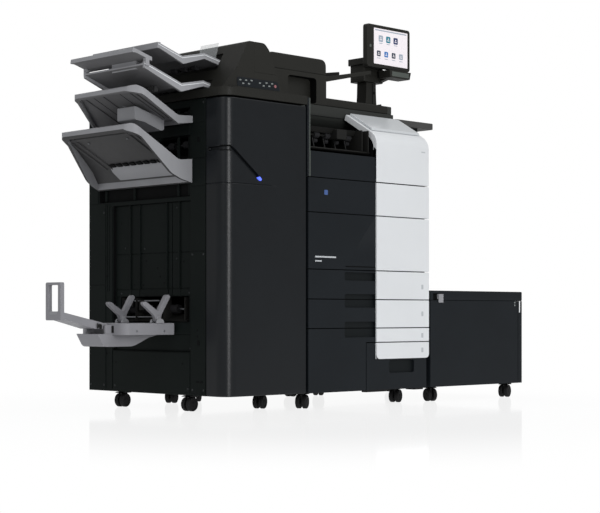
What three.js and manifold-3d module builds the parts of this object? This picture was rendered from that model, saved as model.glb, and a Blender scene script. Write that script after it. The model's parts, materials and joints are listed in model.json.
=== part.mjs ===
// A production photocopier: a print engine on casters with a document feeder and a control panel, a
// booklet finisher with a two-tray sheet inserter on its left, and a large paper unit on its right.
// Millimetres. X runs to the right, Y to the back and Z up. While the machine is built, X = 0 is the
// plane between the finisher and the engine, Y = 0 is the plane of the front panels and Z = 0 is the
// floor. The last lines move the origin to the centre of the footprint.

import * as THREE from 'three';
import { mergeVertices } from 'three/addons/utils/BufferGeometryUtils.js';
import Module from 'manifold-3d';

const wasm = await Module();
wasm.setup();

// Driving dimensions of the whole machine
const gap = 0.4; // between pieces that rest on each other
const seam = 3; // open seam between two panels
const depth = 684; // of the engine, the finisher and the inserter
const underside = 52; // height of the cabinets above the floor
const engineWidth = 588;
const finisherWidth = 350;
const finisherTop = 970;
const paperUnit = { left: 602, right: 1118, back: 664, top: 387, lidThickness: 34, wall: 14 };
const scanner = { left: 2, right: 576, front: 150, bottom: 930, top: 1005 };
const feederTop = 1160;

// Materials
function paint(color, roughness = 0.5, metalness = 0) {
  return new THREE.MeshStandardMaterial({ color, roughness, metalness, flatShading: true });
}
const charcoal = paint(0x2c3032);
const graphite = paint(0x3a3d3e);
const lightGrey = paint(0x9b9c9f);
const paleGrey = paint(0xaeb0b4);
const white = paint(0xe2e4e6, 0.4);
const rubber = paint(0x141516, 0.7);
const steel = paint(0x8d9194, 0.4, 0.8);
const glass = paint(0x1a2024, 0.1);

// Solids from three.js geometry, and back
function toSolid(geometry) {
  geometry.deleteAttribute('normal');
  geometry.deleteAttribute('uv');
  const merged = mergeVertices(geometry, 1e-4);
  return new wasm.Manifold(new wasm.Mesh({
    numProp: 3,
    vertProperties: new Float32Array(merged.attributes.position.array),
    triVerts: new Uint32Array(merged.index.array),
  }));
}

function toMesh(name, solid, material) {
  const { vertProperties, triVerts } = solid.getMesh();
  const geometry = new THREE.BufferGeometry();
  geometry.setAttribute('position', new THREE.BufferAttribute(vertProperties, 3));
  geometry.setIndex(new THREE.BufferAttribute(triVerts, 1));
  geometry.computeVertexNormals();
  const mesh = new THREE.Mesh(geometry, material);
  mesh.name = name;
  return mesh;
}

function join(first, ...others) {
  return others.reduce((sum, solid) => sum.add(solid), first);
}

function cut(first, ...others) {
  return others.reduce((rest, solid) => rest.subtract(solid), first);
}

function block(x0, x1, y0, y1, z0, z1) {
  const geometry = new THREE.BoxGeometry(x1 - x0, y1 - y0, z1 - z0);
  geometry.translate((x0 + x1) / 2, (y0 + y1) / 2, (z0 + z1) / 2);
  return toSolid(geometry);
}

// A closed outline through points [a, b] or [a, b, radius], where a radius rounds that corner
function outline(points) {
  const shape = new THREE.Shape();
  const corner = (i) => points[(i + points.length) % points.length];
  const toward = ([ax, ay], [bx, by], distance) => {
    const length = Math.hypot(bx - ax, by - ay);
    return [ax + (bx - ax) * distance / length, ay + (by - ay) * distance / length];
  };
  points.forEach((point, i) => {
    const [x, y, radius = 0] = point;
    const start = radius ? toward(point, corner(i - 1), radius) : point;
    if (i === 0) shape.moveTo(start[0], start[1]);
    else shape.lineTo(start[0], start[1]);
    if (radius) {
      const end = toward(point, corner(i + 1), radius);
      shape.quadraticCurveTo(x, y, end[0], end[1]);
    }
  });
  shape.closePath();
  return shape;
}

function extrude(points, length, steps) {
  return new THREE.ExtrudeGeometry(outline(points), { depth: length, bevelEnabled: false, curveSegments: steps });
}

// Outline in Y and Z, drawn out along X
function alongX(points, x0, x1, steps = 5) {
  const geometry = extrude(points, x1 - x0, steps);
  const axes = [new THREE.Vector3(0, 1, 0), new THREE.Vector3(0, 0, 1), new THREE.Vector3(1, 0, 0)];
  geometry.applyMatrix4(new THREE.Matrix4().makeBasis(...axes));
  return toSolid(geometry.translate(x0, 0, 0));
}

// Outline in X and Z, drawn out along Y
function alongY(points, y0, y1, steps = 5) {
  const geometry = extrude(points, y1 - y0, steps);
  return toSolid(geometry.rotateX(Math.PI / 2).translate(0, y1, 0));
}

// Outline in X and Y, drawn out along Z
function alongZ(points, z0, z1, steps = 5) {
  return toSolid(extrude(points, z1 - z0, steps).translate(0, 0, z0));
}

function rectangle(a0, a1, b0, b1, radius = 0) {
  return [[a0, b0, radius], [a1, b0, radius], [a1, b1, radius], [a0, b1, radius]];
}

// A round bar along the named axis, centred on [x, y, z]
function bar(axis, radius, length, [x, y, z], sides = 16) {
  const geometry = new THREE.CylinderGeometry(radius, radius, length, sides);
  if (axis === 'x') geometry.rotateZ(Math.PI / 2);
  if (axis === 'z') geometry.rotateX(Math.PI / 2);
  return toSolid(geometry.translate(x, y, z));
}

// ---- Engine ----

const frontFace = -5; // outer face of the white panels
const frontBack = 12; // inner face of all front panels
const whiteLeft = 322; // left edge of the white stripe
const fixedPanel = { bottom: 746, top: 828 };
const doorHeights = {
  toner: [634, 743],
  front: [451, 631],
  tray1: [355, 448],
  tray2: [260, 352],
  tray3: [underside, 257],
  tray4: [underside, 209],
};
const trayBodies = {
  tray1: { x: [26, 562], z: [360, 438], back: 560 },
  tray2: { x: [26, 562], z: [266, 342], back: 560 },
  tray3: { x: [26, 262], z: [64, 204], back: 540 },
  tray4: { x: [296, 562], z: [64, 200], back: 540 },
};
const tray3Right = 275; // right edge of the lower part of the third tray's front

function bay({ x, z, back }) {
  return block(x[0] - seam, x[1] + seam, 0, back + 6, z[0] - seam, z[1] + seam);
}

function engineCabinet() {
  const low = block(4, engineWidth - 2, frontBack + 2, depth - 12, underside, fixedPanel.top);
  const tower = block(4, engineWidth - 2, scanner.front, depth - 12, fixedPanel.top - 1, scanner.bottom - gap);
  const shoulderOutline = [[14, 820], [14, 864], [26, 885], [112, scanner.bottom - gap], [152, scanner.bottom - gap],
    [152, 820]];
  const shoulder = alongX(shoulderOutline, whiteLeft + 2, engineWidth - 2);
  const plate = block(4, engineWidth, 0, frontBack + 3, fixedPanel.bottom, fixedPanel.top);
  const column = alongZ(rectangle(2, 15, -2, frontBack + 3, 5), fixedPanel.bottom, 996);
  const rearCover = block(14, engineWidth - 12, depth - 13, depth, underside + 12, scanner.bottom - 12);
  const exitCavity = block(18, 318, -10, 560, 838, 918);
  const tonerBay = block(20, 568, 0, 440, 640, 736);
  const processBay = block(20, 568, 0, 500, 456, 626);
  const paperPath = block(560, 580, 60, 480, 456, 626);
  const body = join(low, tower, shoulder, plate, column, rearCover);
  return toMesh('engine_cabinet', cut(body, exitCavity, tonerBay, processBay, paperPath,
    ...Object.values(trayBodies).map(bay)), charcoal);
}

// A swinging front panel with a dark part and a raised white part at the right
function frontPanel(z0, z1) {
  const dark = block(6, whiteLeft + 1, 0, frontBack, z0, z1);
  return join(dark, alongX(rectangle(frontFace, frontBack, z0, z1, 3), whiteLeft, engineWidth));
}

function tonerDoor() {
  const [z0, z1] = doorHeights.toner;
  return toMesh('toner_door', frontPanel(z0, z1), charcoal);
}

function frontDoor() {
  const [z0, z1] = doorHeights.front;
  const groove = block(176, 320, -1, 2, z0 + 8, z0 + 12);
  return toMesh('front_door', cut(frontPanel(z0, z1), groove), charcoal);
}

// Four toner bottles held side by side in one carrier
function tonerRack() {
  const count = 4;
  const pitch = 128;
  const radius = 38;
  const first = 102;
  let rack = block(40, 548, 60, 400, 643, 652);
  for (let i = 0; i < count; i += 1) {
    rack = join(rack, bar('y', radius, 330, [first + i * pitch, 235, 652 + radius - 4], 20));
  }
  return toMesh('toner_rack', rack, graphite);
}

// The drawer behind a tray front: four walls and a floor, open at the top
function drawerBox({ x, z, back }) {
  const wall = 4;
  const outer = block(x[0], x[1], frontBack - 1, back, z[0], z[1]);
  return cut(outer, block(x[0] + wall, x[1] - wall, frontBack + wall, back - wall, z[0] + wall, z[1] + 1));
}

function handlePocket(x0, x1, z0, z1) {
  return alongX(rectangle(-9, frontBack - 3, z0, z1, 2), x0, x1);
}

function tray1() {
  const [z0, z1] = doorHeights.tray1;
  const front = cut(frontPanel(z0, z1), handlePocket(173, 320, 415, 442), handlePocket(173, 320, z0 - 4, 371));
  return toMesh('tray_1', join(front, drawerBox(trayBodies.tray1)), charcoal);
}

function tray2() {
  const [z0, z1] = doorHeights.tray2;
  const front = cut(frontPanel(z0, z1), handlePocket(173, 320, 326, z1 + 4), handlePocket(173, 320, z0 - 4, 280));
  return toMesh('tray_2', join(front, drawerBox(trayBodies.tray2)), charcoal);
}

function tray3() {
  const [z0, z1] = doorHeights.tray3;
  const upper = frontPanel(doorHeights.tray4[1] + seam, z1);
  const lower = block(6, tray3Right, 0, frontBack, z0, z1);
  const front = cut(join(upper, lower), handlePocket(173, 320, 228, z1 + 4));
  return toMesh('tray_3', join(front, drawerBox(trayBodies.tray3)), charcoal);
}

function tray4() {
  const [z0, z1] = doorHeights.tray4;
  const dark = block(tray3Right + seam, engineWidth - 8, 0, frontBack, z0, z1);
  const stripeEnd = rectangle(whiteLeft, engineWidth, 155, z1, 16);
  stripeEnd[2][2] = 0;
  stripeEnd[3][2] = 0;
  const stripe = alongY(stripeEnd, frontFace, 4);
  const front = cut(join(dark, stripe), handlePocket(389, 516, 107, 151));
  return toMesh('tray_4', join(front, drawerBox(trayBodies.tray4)), charcoal);
}

// White cover over the front right shoulder: upright below, leaning back above
function topCover() {
  const shape = [[frontFace, fixedPanel.bottom], [frontFace, 896, 26], [22, 917, 6], [138, 984, 4], [146, 965, 3],
    [24, 893, 10], [frontBack, 873, 8], [frontBack, 852], [-0.6, 852], [-0.6, fixedPanel.bottom]];
  const inset = alongX([[34, 928], [126, 981.5], [122, 988], [30, 934]], whiteLeft + 14, engineWidth - 14);
  return toMesh('top_cover', cut(alongX(shape, whiteLeft, engineWidth), inset), white);
}

// Screwed-on cover of the right side, above the paper unit
function sideCover() {
  const cover = alongX(rectangle(70, 640, 400, 900, 12), engineWidth - 2 + gap, engineWidth + 8);
  const grip = alongX(rectangle(100, 130, 600, 700, 8), engineWidth + 3, engineWidth + 9);
  return toMesh('side_cover', cut(cover, grip), charcoal);
}

// ---- Scanner and document feeder ----

const feeder = { back: 660, bottom: 1006, flatTop: 1033, split: 1108, left: -38, right: 543, hump: 240 };

// Curved under its front edge, with a raised strip at the right end that the feeder lid closes against
function scannerHousing() {
  const { left, right, front, bottom, top } = scanner;
  const side = [[front, top], [front, 968, 10], [front + 34, bottom, 30], [depth, bottom], [depth, top]];
  const pocket = block(60, 500, 200, 560, top - 6, top + 1);
  const shaft = block(80, 480, 220, 540, bottom + 12, top);
  const vent = block(250, 400, 530, depth + 1, bottom + 14, bottom + 34);
  const endStrip = alongX(rectangle(front, feeder.back, top - 1, feeder.flatTop, 4), feeder.right + 2, right - 10);
  return toMesh('scanner_housing', cut(join(alongX(side, left, right), endStrip), pocket, shaft, vent), charcoal);
}

function platenGlass() {
  return toMesh('platen_glass', block(61, 499, 201, 559, scanner.top - 6 + gap, scanner.top - 0.6), glass);
}

function feederLid() {
  const { back, bottom, flatTop, split, left, right, hump } = feeder;
  const front = scanner.front;
  const flat = alongX(rectangle(front, back, bottom, flatTop, 4), 2, right);
  const tower = alongY([[left, bottom + 1], [hump, bottom + 1], [hump, split], [left, split]], front, back);
  const mouth = alongY(rectangle(60, 193, bottom + 2, 1093, 14), front - 1, front + 30);
  const exitSlot = block(150, hump + 1, 240, 540, flatTop + 6, flatTop + 26);
  return toMesh('feeder_lid', cut(join(flat, tower), mouth, exitSlot), charcoal);
}

function feederCover() {
  const { back, split, left, hump } = feeder;
  const side = [[left, split + gap], [hump, split + gap], [hump, feederTop, 22], [left, feederTop, 30]];
  return toMesh('feeder_cover', alongY(side, scanner.front, back), charcoal);
}

// Sheet tray rising to the right, with a low wall along each side
function feederTray() {
  const { hump, right } = feeder;
  const wedge = [[hump + gap, 1086], [right, 1154], [right, 1166, 4], [hump + gap, 1106]];
  const channel = [[hump - 1, 1100], [right + 1, 1160], [right + 1, 1190], [hump - 1, 1140]];
  return toMesh('feeder_tray', cut(alongY(wedge, 225, 555), alongY(channel, 237, 543)), graphite);
}

// ---- Control panel on the right ----

const panel = { x: 631, y: 330, tableTop: 993 };
const padHeight = 1; // of the raised resting area beside the column

function workTable() {
  const { tableTop } = panel;
  const slab = alongZ(rectangle(engineWidth + gap, 795, 150, 470, 12), tableTop - 22, tableTop);
  const rim = block(engineWidth + 12, 730, 170, 450, tableTop - 34, tableTop - 21);
  const pad = alongZ(rectangle(684, 787, 158, 462, 6), tableTop - 1, tableTop + padHeight);
  return toMesh('work_table', join(slab, rim, pad), graphite);
}

function panelColumn() {
  const { x, y, tableTop } = panel;
  const top = 1142;
  const flare = [[-38, tableTop + gap], [38, tableTop + gap], [33, 1030, 8], [27, 1078, 20], [25, top], [-25, top],
    [-27, 1078, 20], [-33, 1030, 8]];
  const side = flare.map(([a, z, radius]) => [x + a, z, radius]);
  return toMesh('panel_column', alongY(side, y - 24, y + 24), graphite);
}

function panelHead() {
  const { x, y } = panel;
  const bottom = 1142 + gap;
  const body = alongZ(rectangle(x - 44, x + 58, y - 30, y + 42, 8), bottom, 1204);
  const cap = alongZ(rectangle(x - 52, x + 66, y - 38, y + 46, 8), 1203, 1226);
  const shelf = alongY([[x + 22, 1156], [x + 126, 1156, 3], [x + 133, 1183, 3], [x + 18, 1183]], y - 98, y - 42);
  const link = alongX([[y - 70, 1157], [y - 20, 1144], [y - 20, 1200], [y - 46, 1182], [y - 70, 1182]], x + 36, x + 56);
  const ears = [-30, 30].map((a) => join(
    block(x + a - 6, x + a + 6, y - 50, y - 30, 1207, 1223),
    bar('x', 8, 12, [x + a, y - 52, 1215]),
  ));
  return toMesh('panel_head', join(body, cap, shelf, link, ...ears), graphite);
}

// Touch screen, upright at rest, hung on a pin between the head's two ears
function tablet() {
  const { x, y } = panel;
  const left = 547;
  const right = 775;
  const body = alongY(rectangle(left, right, 1187, 1339, 12), y - 82, y - 61);
  const screen = block(left + 34, right - 12, y - 83, y - 81, 1199, 1328);
  const hinge = join(
    block(x - 20, x + 20, y - 63, y - 51, 1209, 1221),
    bar('x', 6, 40, [x, y - 52, 1215]),
  );
  return toMesh('tablet', cut(join(body, hinge), screen), charcoal);
}

// ---- Finisher ----

const wallX = 1 - finisherWidth; // outer face of the finisher's left wall
const doorWrap = 88; // how far the front door reaches round the left corner

function finisherCabinet() {
  const body = block(wallX, -2, doorWrap + seam, depth - 1, underside, finisherTop);
  const nose = block(-308, -2, 32, doorWrap + seam + 1, underside, finisherTop);
  const recess = block(wallX - 1, wallX + 12, 163, 552, 187, 659);
  const bookletSlot = block(wallX - 1, wallX + 90, 183, 525, 281, 361);
  const trayWell = block(wallX - 1, wallX + 16, 166, 626, 672, 948);
  const lowerExit = block(wallX - 1, wallX + 110, 175, 520, 800, 858);
  const upperExit = block(wallX - 1, wallX + 110, 175, 520, 926, 946);
  const chamber = block(-290, -30, 20, 600, 110, 770);
  const grooves = [221, 262, 281, 426, 467, 547].map((y) => block(wallX + 11, wallX + 14, y - 2, y + 2, 385, 655));
  return toMesh('finisher_cabinet', cut(join(body, nose), recess, bookletSlot, trayWell, lowerExit, upperExit,
    chamber, ...grooves), charcoal);
}

// One door that covers the front and wraps round the left corner, with a slanted grip groove
function finisherDoor() {
  const plan = [[-4, 0, 6], [1 - finisherWidth, 0, 46], [1 - finisherWidth, doorWrap], [-326, doorWrap],
    [-326, 28, 20], [-4, 28]];
  const shell = alongZ(plan, underside, finisherTop - 2, 10);
  const groove = alongY([[-352, 818], [-318, 812], [-292, 792], [-202, 728], [-200, 718], [-212, 718], [-304, 786],
    [-322, 801], [-352, 806]], -1, 9);
  const wrapGroove = block(-352, -341, 8, 76, 806, 818);
  return toMesh('finisher_door', cut(shell, groove, wrapGroove), charcoal);
}

// ---- Sheet inserter on top of the finisher ----

const inserterFoot = 1000; // top of the inserter's base
const inserterSplit = 1052; // height of the seam under the opening cover

function inserterHousing() {
  const plan = [[2, 0], [wallX + 1, 0, 46], [wallX + 1, depth - 4], [2, depth - 4]];
  const base = alongZ(plan, finisherTop + gap + 3, inserterFoot, 10);
  const wedge = alongY([[-332, inserterFoot - 1], [-112, inserterFoot - 1], [-133, inserterSplit], [-230, inserterSplit],
    [-230, 1146, 4], [-256, 1146, 8]], 0, 650);
  const tail = alongX([[560, 1150], [700, 1150], [700, 1020], [640, 1090]], -360, 0);
  const frontCorner = alongZ([[-360, -1], [-296, -1], [-360, 63]], inserterFoot, 1150);
  const upperMouth = block(-310, -262, 96, 424, 1064, 1116);
  const lowerMouth = block(-345, -311, 96, 404, 996, 1030);
  return toMesh('inserter_housing', cut(join(base, wedge), tail, frontCorner, upperMouth, lowerMouth), graphite);
}

function inserterCover() {
  const cover = alongY([[-230 + gap, inserterSplit + gap], [-133.5, inserterSplit + gap], [-166, 1127, 8],
    [-186, 1146, 10], [-230 + gap, 1146, 2]], 0, 600);
  const tail = alongX([[560, 1150], [700, 1150], [700, 1020], [640, 1090]], -240, 0);
  return toMesh('inserter_cover', cut(cover, tail), charcoal);
}

// A tray that falls from its outer end to a bend and rises again to the housing. The two lines, in X
// and Z, are the upper and the lower edge of its side rails, and a thin floor runs between the rails.
function bentTray(upper, lower, y0, y1) {
  const rail = 9;
  const floorDrop = 6;
  const floorThickness = 5;
  const rails = alongY([...upper, ...[...lower].reverse()], y0, y1);
  const between = block(-700, -200, y0 + rail, y1 - rail, 900, 1300);
  const lowered = (drop) => upper.map(([x, z]) => [x, z - drop]);
  const floor = alongY([...lowered(floorDrop), ...lowered(floorDrop + floorThickness).reverse()],
    y0 + rail - 1, y1 - rail + 1);
  return join(cut(rails, between), floor);
}

function inserterTrayUpper() {
  const upper = [[-530, 1121], [-435, 1090], [-346, 1109], [-264, 1091]];
  const lower = [[-524, 1103], [-430, 1066], [-346, 1091], [-264, 1074]];
  const lip = block(-532, -520, 100, 420, 1103, 1121);
  return toMesh('inserter_tray_upper', join(bentTray(upper, lower, 100, 420), lip), lightGrey);
}

// The lower tray is longer: its outer part is a raised plate that a box carries from below
function inserterTrayLower() {
  const upper = [[-582, 1058], [-438, 1007], [-351, 1024], [-313, 1016]];
  const lower = [[-582, 1038], [-438, 981], [-351, 1006], [-313, 1000]];
  const plate = alongY([[-628, 1093, 4], [-556, 1072], [-556, 1060], [-616, 1078, 4], [-631, 1078, 3]], 96, 404);
  const posts = [[96, 109], [391, 404]].map(([y0, y1]) => block(-580, -566, y0, y1, 1044, 1074));
  const box = block(-574, -536, 152, 268, 1040, 1070);
  return toMesh('inserter_tray_lower', join(bentTray(upper, lower, 100, 400), plate, box, ...posts), lightGrey);
}

function inserterGuide() {
  const guide = alongY([[-420, 1089], [-352, 1104], [-352, 1126, 6], [-420, 1112, 6]], 380, 386);
  return toMesh('inserter_guide', guide, graphite);
}

// ---- Exit trays on the finisher's left wall ----

// A sloped plate with a rim all round its underside
function slopedTray(side, under, plan) {
  const [y0, y1] = [100, 660];
  const body = alongY(side, y0, y1).intersect(alongZ(plan, 600, 1100, 4));
  const inner = plan.map(([x, y, radius]) => [
    x < -500 ? x + 12 : x - 14, y < 350 ? y + 10 : y - 10, radius,
  ]);
  return cut(body, alongY(under, y0, y1).intersect(alongZ(inner, 600, 1100, 4)));
}

function exitTrayUpper() {
  const side = [[-592, 990, 6], [-575, 994, 6], [-413, 916, 12], [wallX - gap, 920], [wallX - gap, 899], [-413, 891],
    [-560, 966], [-592, 974, 4]];
  const under = [[-600, 960], [-600, 984], [-576, 986], [-413, 908], [-340, 911], [-340, 880], [-413, 880]];
  const plan = [[wallX - gap, 150], [-560, 134, 18], [-592, 166, 18], [-592, 440, 16], [wallX - gap, 600]];
  const chute = alongY([[-522, 942, 4], [-522, 900, 6], [-484, 896, 8], [-414, 873, 8], [-406, 880], [-406, 914],
    [-425, 914]], 222, 308);
  return toMesh('exit_tray_upper', join(slopedTray(side, under, plan), chute), lightGrey);
}

function exitTrayLower() {
  const side = [[-605, 874, 6], [-590, 878, 6], [-470, 814, 12], [-408, 780, 12], [wallX - gap, 786],
    [wallX - gap, 712], [-400, 722, 6], [-440, 738, 10], [-560, 838], [-605, 856, 6]];
  const under = [[-620, 830], [-620, 868], [-591, 870], [-470, 805], [-404, 770], [-360, 732], [-360, 700],
    [-440, 700]];
  const plan = [[wallX - gap, 150], [-580, 140, 14], [-605, 164, 14], [-605, 490, 16], [wallX - gap, 626]];
  return toMesh('exit_tray_lower', slopedTray(side, under, plan), lightGrey);
}

// ---- Booklet tray low on the left wall ----

const booklet = { y: 355, deckOuter: -548, pivot: [-560, 266] };

function bookletTray() {
  const { y, deckOuter } = booklet;
  const plan = [[wallX - gap, y - 115], [deckOuter, y - 115, 34], [deckOuter, y + 115, 34], [wallX - gap, y + 115]];
  const deck = alongZ(plan, 240, 277, 6);
  const hollow = block(deckOuter + 26, wallX - 30, y - 60, y + 60, 262, 278);
  const keel = alongY([[-604, 244], [-580, 204, 10], [-465, 204, 16], [-405, 230], [-360, 241], [-360, 244]],
    y - 55, y + 55);
  const lugs = [-48, 48].map((a) => block(-572, deckOuter + 2, y + a - 5, y + a + 5, 242, 272));
  return toMesh('booklet_tray', join(cut(deck, hollow), keel, ...lugs), paleGrey);
}

// Folding arm with an upright loop at its end that stops the booklets
function bookletStopper() {
  const { y, pivot } = booklet;
  const [px, pz] = pivot;
  const arm = alongY([[px + 8, pz - 8, 6], [px + 8, pz + 8, 6], [-717, 310], [-717, 290], [-600, 260]], y - 38, y + 38);
  const frame = alongX(rectangle(y - 38, y + 38, 286, 401, 6), -730, -716);
  const window = alongX(rectangle(y - 25, y + 25, 313, 393, 4), -731, -715);
  return toMesh('booklet_stopper', join(arm, cut(frame, window)), paleGrey);
}

// V-shaped arm that presses the booklets down
function bookletArm(name, y) {
  const foot = -410;
  const vee = alongY([[foot - 7, 279.5, 5], [foot + 7, 279.5, 5], [foot + 15, 306], [-361, 359, 4], [-369, 367, 4],
    [-379, 364, 4], [foot, 314], [foot - 49, 344, 4], [foot - 61, 343, 4], [foot - 60, 334, 4],
    [foot - 16, 301]], y - 7, y + 7, 2);
  return toMesh(name, vee, paleGrey);
}

// ---- Large paper unit on the right ----

function paperUnitCabinet() {
  const { left, right, back, top, lidThickness, wall } = paperUnit;
  const rim = top - lidThickness - gap;
  const box = block(left, right, 0, back, underside, rim);
  const store = block(left + wall, right - wall, wall, back - wall, underside + wall, rim + 1);
  return toMesh('paper_unit_cabinet', cut(box, store), charcoal);
}

function paperUnitLid() {
  const { left, right, back, top, lidThickness } = paperUnit;
  const side = rectangle(0, back, top - lidThickness, top, 5);
  const notch = block(616, 669, -1, 8, top - lidThickness - 1, top - 10);
  return toMesh('paper_unit_lid', cut(alongX(side, left, right), notch), charcoal);
}

function paperUnitLiftPlate() {
  const { left, right, back, wall } = paperUnit;
  const room = wall + 6;
  const plate = block(left + room, right - room, room, back - room, underside + wall + 12, underside + wall + 20);
  const fingerGap = block(820, 900, 0, 120, underside, 200);
  return toMesh('paper_unit_lift_plate', cut(plate, fingerGap), steel);
}

function paperUnitLatch() {
  const { top } = paperUnit;
  return toMesh('paper_unit_latch', alongX([[-4, top - 12, 2], [6, top - 12], [6, top - 30], [-gap, top - 30],
    [-gap, top - 42], [-4, top - 42, 1]], 643, 667), lightGrey);
}

// ---- Casters ----

const caster = { radius: 22.5, trail: 12, tread: 14, web: 8 };

function casterFork(name) {
  const { radius, trail, tread, web } = caster;
  const half = web / 2 + tread;
  const plateTop = underside - gap;
  const plate = bar('z', 17, 3, [0, 0, plateTop - 1.5], 12);
  const hood = alongX([[-trail - 20, radius + 23.5], [trail, radius + 23.5, 2], [trail, plateTop - 2],
    [-trail - 10, plateTop - 2, 2]], -half, half, 2);
  const blade = alongX([[-trail - 8, radius - 8, 5], [-trail + 8, radius - 8, 5], [trail - 2, radius + 24],
    [-trail - 8, radius + 24]], -web / 2 + 0.5, web / 2 - 0.5, 2);
  const axleHole = bar('x', 5, web + 2, [0, -trail, radius], 8);
  return toMesh(name, cut(join(plate, hood, blade), axleHole), rubber);
}

function casterWheel(name) {
  const { radius, tread, web } = caster;
  const profile = (side) => {
    const inner = side * web / 2;
    const points = [[0, 0], [radius, 0], [radius, tread - 3], [radius - 3, tread], [0, tread]];
    const turned = new THREE.LatheGeometry(points.map(([r, h]) => new THREE.Vector2(r, h)), 16);
    const wheel = toSolid(turned.rotateZ(-Math.PI / 2));
    return side > 0 ? wheel.translate([inner, 0, 0]) : wheel.mirror([1, 0, 0]).translate([inner, 0, 0]);
  };
  const axle = bar('x', 4, web + 2, [0, 0, 0], 8);
  return toMesh(name, join(profile(1), profile(-1), axle), rubber);
}

// Caster places: name, X and Y of the swivel axis, and the way the wheel trails, in degrees about Z
const casters = [
  ['finisher_front_left', -306, 205, -84], ['finisher_front_right', -55, 155, -66],
  ['finisher_rear_left', -306, 545, -78], ['finisher_rear_right', -55, 600, -60],
  ['engine_front_left', 44, 62, -62], ['engine_front_right', 530, 92, -70],
  ['engine_rear_left', 60, 610, -50], ['engine_rear_right', 530, 610, -80],
  ['paper_unit_front_left', 660, 60, -20], ['paper_unit_front_right', 1076, 42, -72],
  ['paper_unit_rear_left', 660, 600, -60], ['paper_unit_rear_right', 1070, 600, -75],
];

function casterGroup([place, x, y, turn]) {
  const group = new THREE.Group();
  const wheel = casterWheel(`${place}_wheel`);
  wheel.position.set(0, -caster.trail, caster.radius);
  group.add(casterFork(`${place}_caster`), wheel);
  group.position.set(x, y, 0);
  group.rotation.z = THREE.MathUtils.degToRad(turn);
  return group;
}

// ---- Assembly ----

const machine = new THREE.Group();
machine.add(
  engineCabinet(), topCover(), tonerDoor(), tonerRack(), frontDoor(), tray1(), tray2(), tray3(), tray4(), sideCover(),
  scannerHousing(), platenGlass(), feederLid(), feederCover(), feederTray(),
  workTable(), panelColumn(), panelHead(), tablet(),
  finisherCabinet(), finisherDoor(), inserterHousing(), inserterCover(), inserterTrayUpper(), inserterTrayLower(),
  inserterGuide(), exitTrayUpper(), exitTrayLower(), bookletTray(), bookletStopper(),
  bookletArm('booklet_arm_front', 252), bookletArm('booklet_arm_rear', 428),
  paperUnitCabinet(), paperUnitLid(), paperUnitLiftPlate(), paperUnitLatch(),
  ...casters.map(casterGroup),
);

// The origin is the centre of the footprint, on the floor
const extent = new THREE.Box3().setFromObject(machine);
const middle = extent.getCenter(new THREE.Vector3());
machine.position.set(-middle.x, -middle.y, -extent.min.z);

const photocopier = new THREE.Group();
photocopier.add(machine);

export default photocopier;
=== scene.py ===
import json
import math

import bmesh
import bpy
import numpy as np
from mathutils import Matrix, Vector


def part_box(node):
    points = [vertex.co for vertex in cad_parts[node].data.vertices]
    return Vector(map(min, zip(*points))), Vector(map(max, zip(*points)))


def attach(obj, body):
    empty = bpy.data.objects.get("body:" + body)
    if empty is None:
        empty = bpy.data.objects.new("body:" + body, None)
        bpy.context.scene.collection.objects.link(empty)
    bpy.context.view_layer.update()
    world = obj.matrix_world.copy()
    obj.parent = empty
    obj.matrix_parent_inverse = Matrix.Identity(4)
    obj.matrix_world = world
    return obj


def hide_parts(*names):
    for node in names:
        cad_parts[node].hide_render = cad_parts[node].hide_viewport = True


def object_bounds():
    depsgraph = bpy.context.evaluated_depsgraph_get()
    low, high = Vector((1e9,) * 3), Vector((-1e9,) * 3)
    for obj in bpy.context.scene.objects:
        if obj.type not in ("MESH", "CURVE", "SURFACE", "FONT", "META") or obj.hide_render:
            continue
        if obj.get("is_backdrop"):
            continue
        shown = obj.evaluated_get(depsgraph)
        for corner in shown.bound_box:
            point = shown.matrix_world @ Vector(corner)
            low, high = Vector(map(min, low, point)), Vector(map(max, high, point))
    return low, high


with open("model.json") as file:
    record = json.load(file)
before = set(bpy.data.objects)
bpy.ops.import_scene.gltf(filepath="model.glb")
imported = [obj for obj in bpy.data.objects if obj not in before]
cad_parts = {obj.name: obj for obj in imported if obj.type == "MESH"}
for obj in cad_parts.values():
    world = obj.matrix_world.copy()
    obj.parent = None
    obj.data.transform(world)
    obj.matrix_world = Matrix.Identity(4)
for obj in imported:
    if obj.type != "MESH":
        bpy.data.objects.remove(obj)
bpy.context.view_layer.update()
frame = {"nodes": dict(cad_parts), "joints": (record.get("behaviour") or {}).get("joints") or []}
nodes = frame["nodes"]

# Millimetres count from the plane between finisher and engine (x), the dark front faces (y) and the floor (z)
corner = np.array([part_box("engine_cabinet")[0][0] - 0.002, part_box("paper_unit_cabinet")[0][1], 0.0])
axesOf = {"x": (1, 2, 0), "y": (0, 2, 1), "z": (0, 1, 2)}
frontWhite, whiteLeft, whiteLow, engineRight = -5, 322, 155, 588
wallX, tableTop = -349, 993
print("frame loaded:", len(nodes), "nodes")


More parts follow.
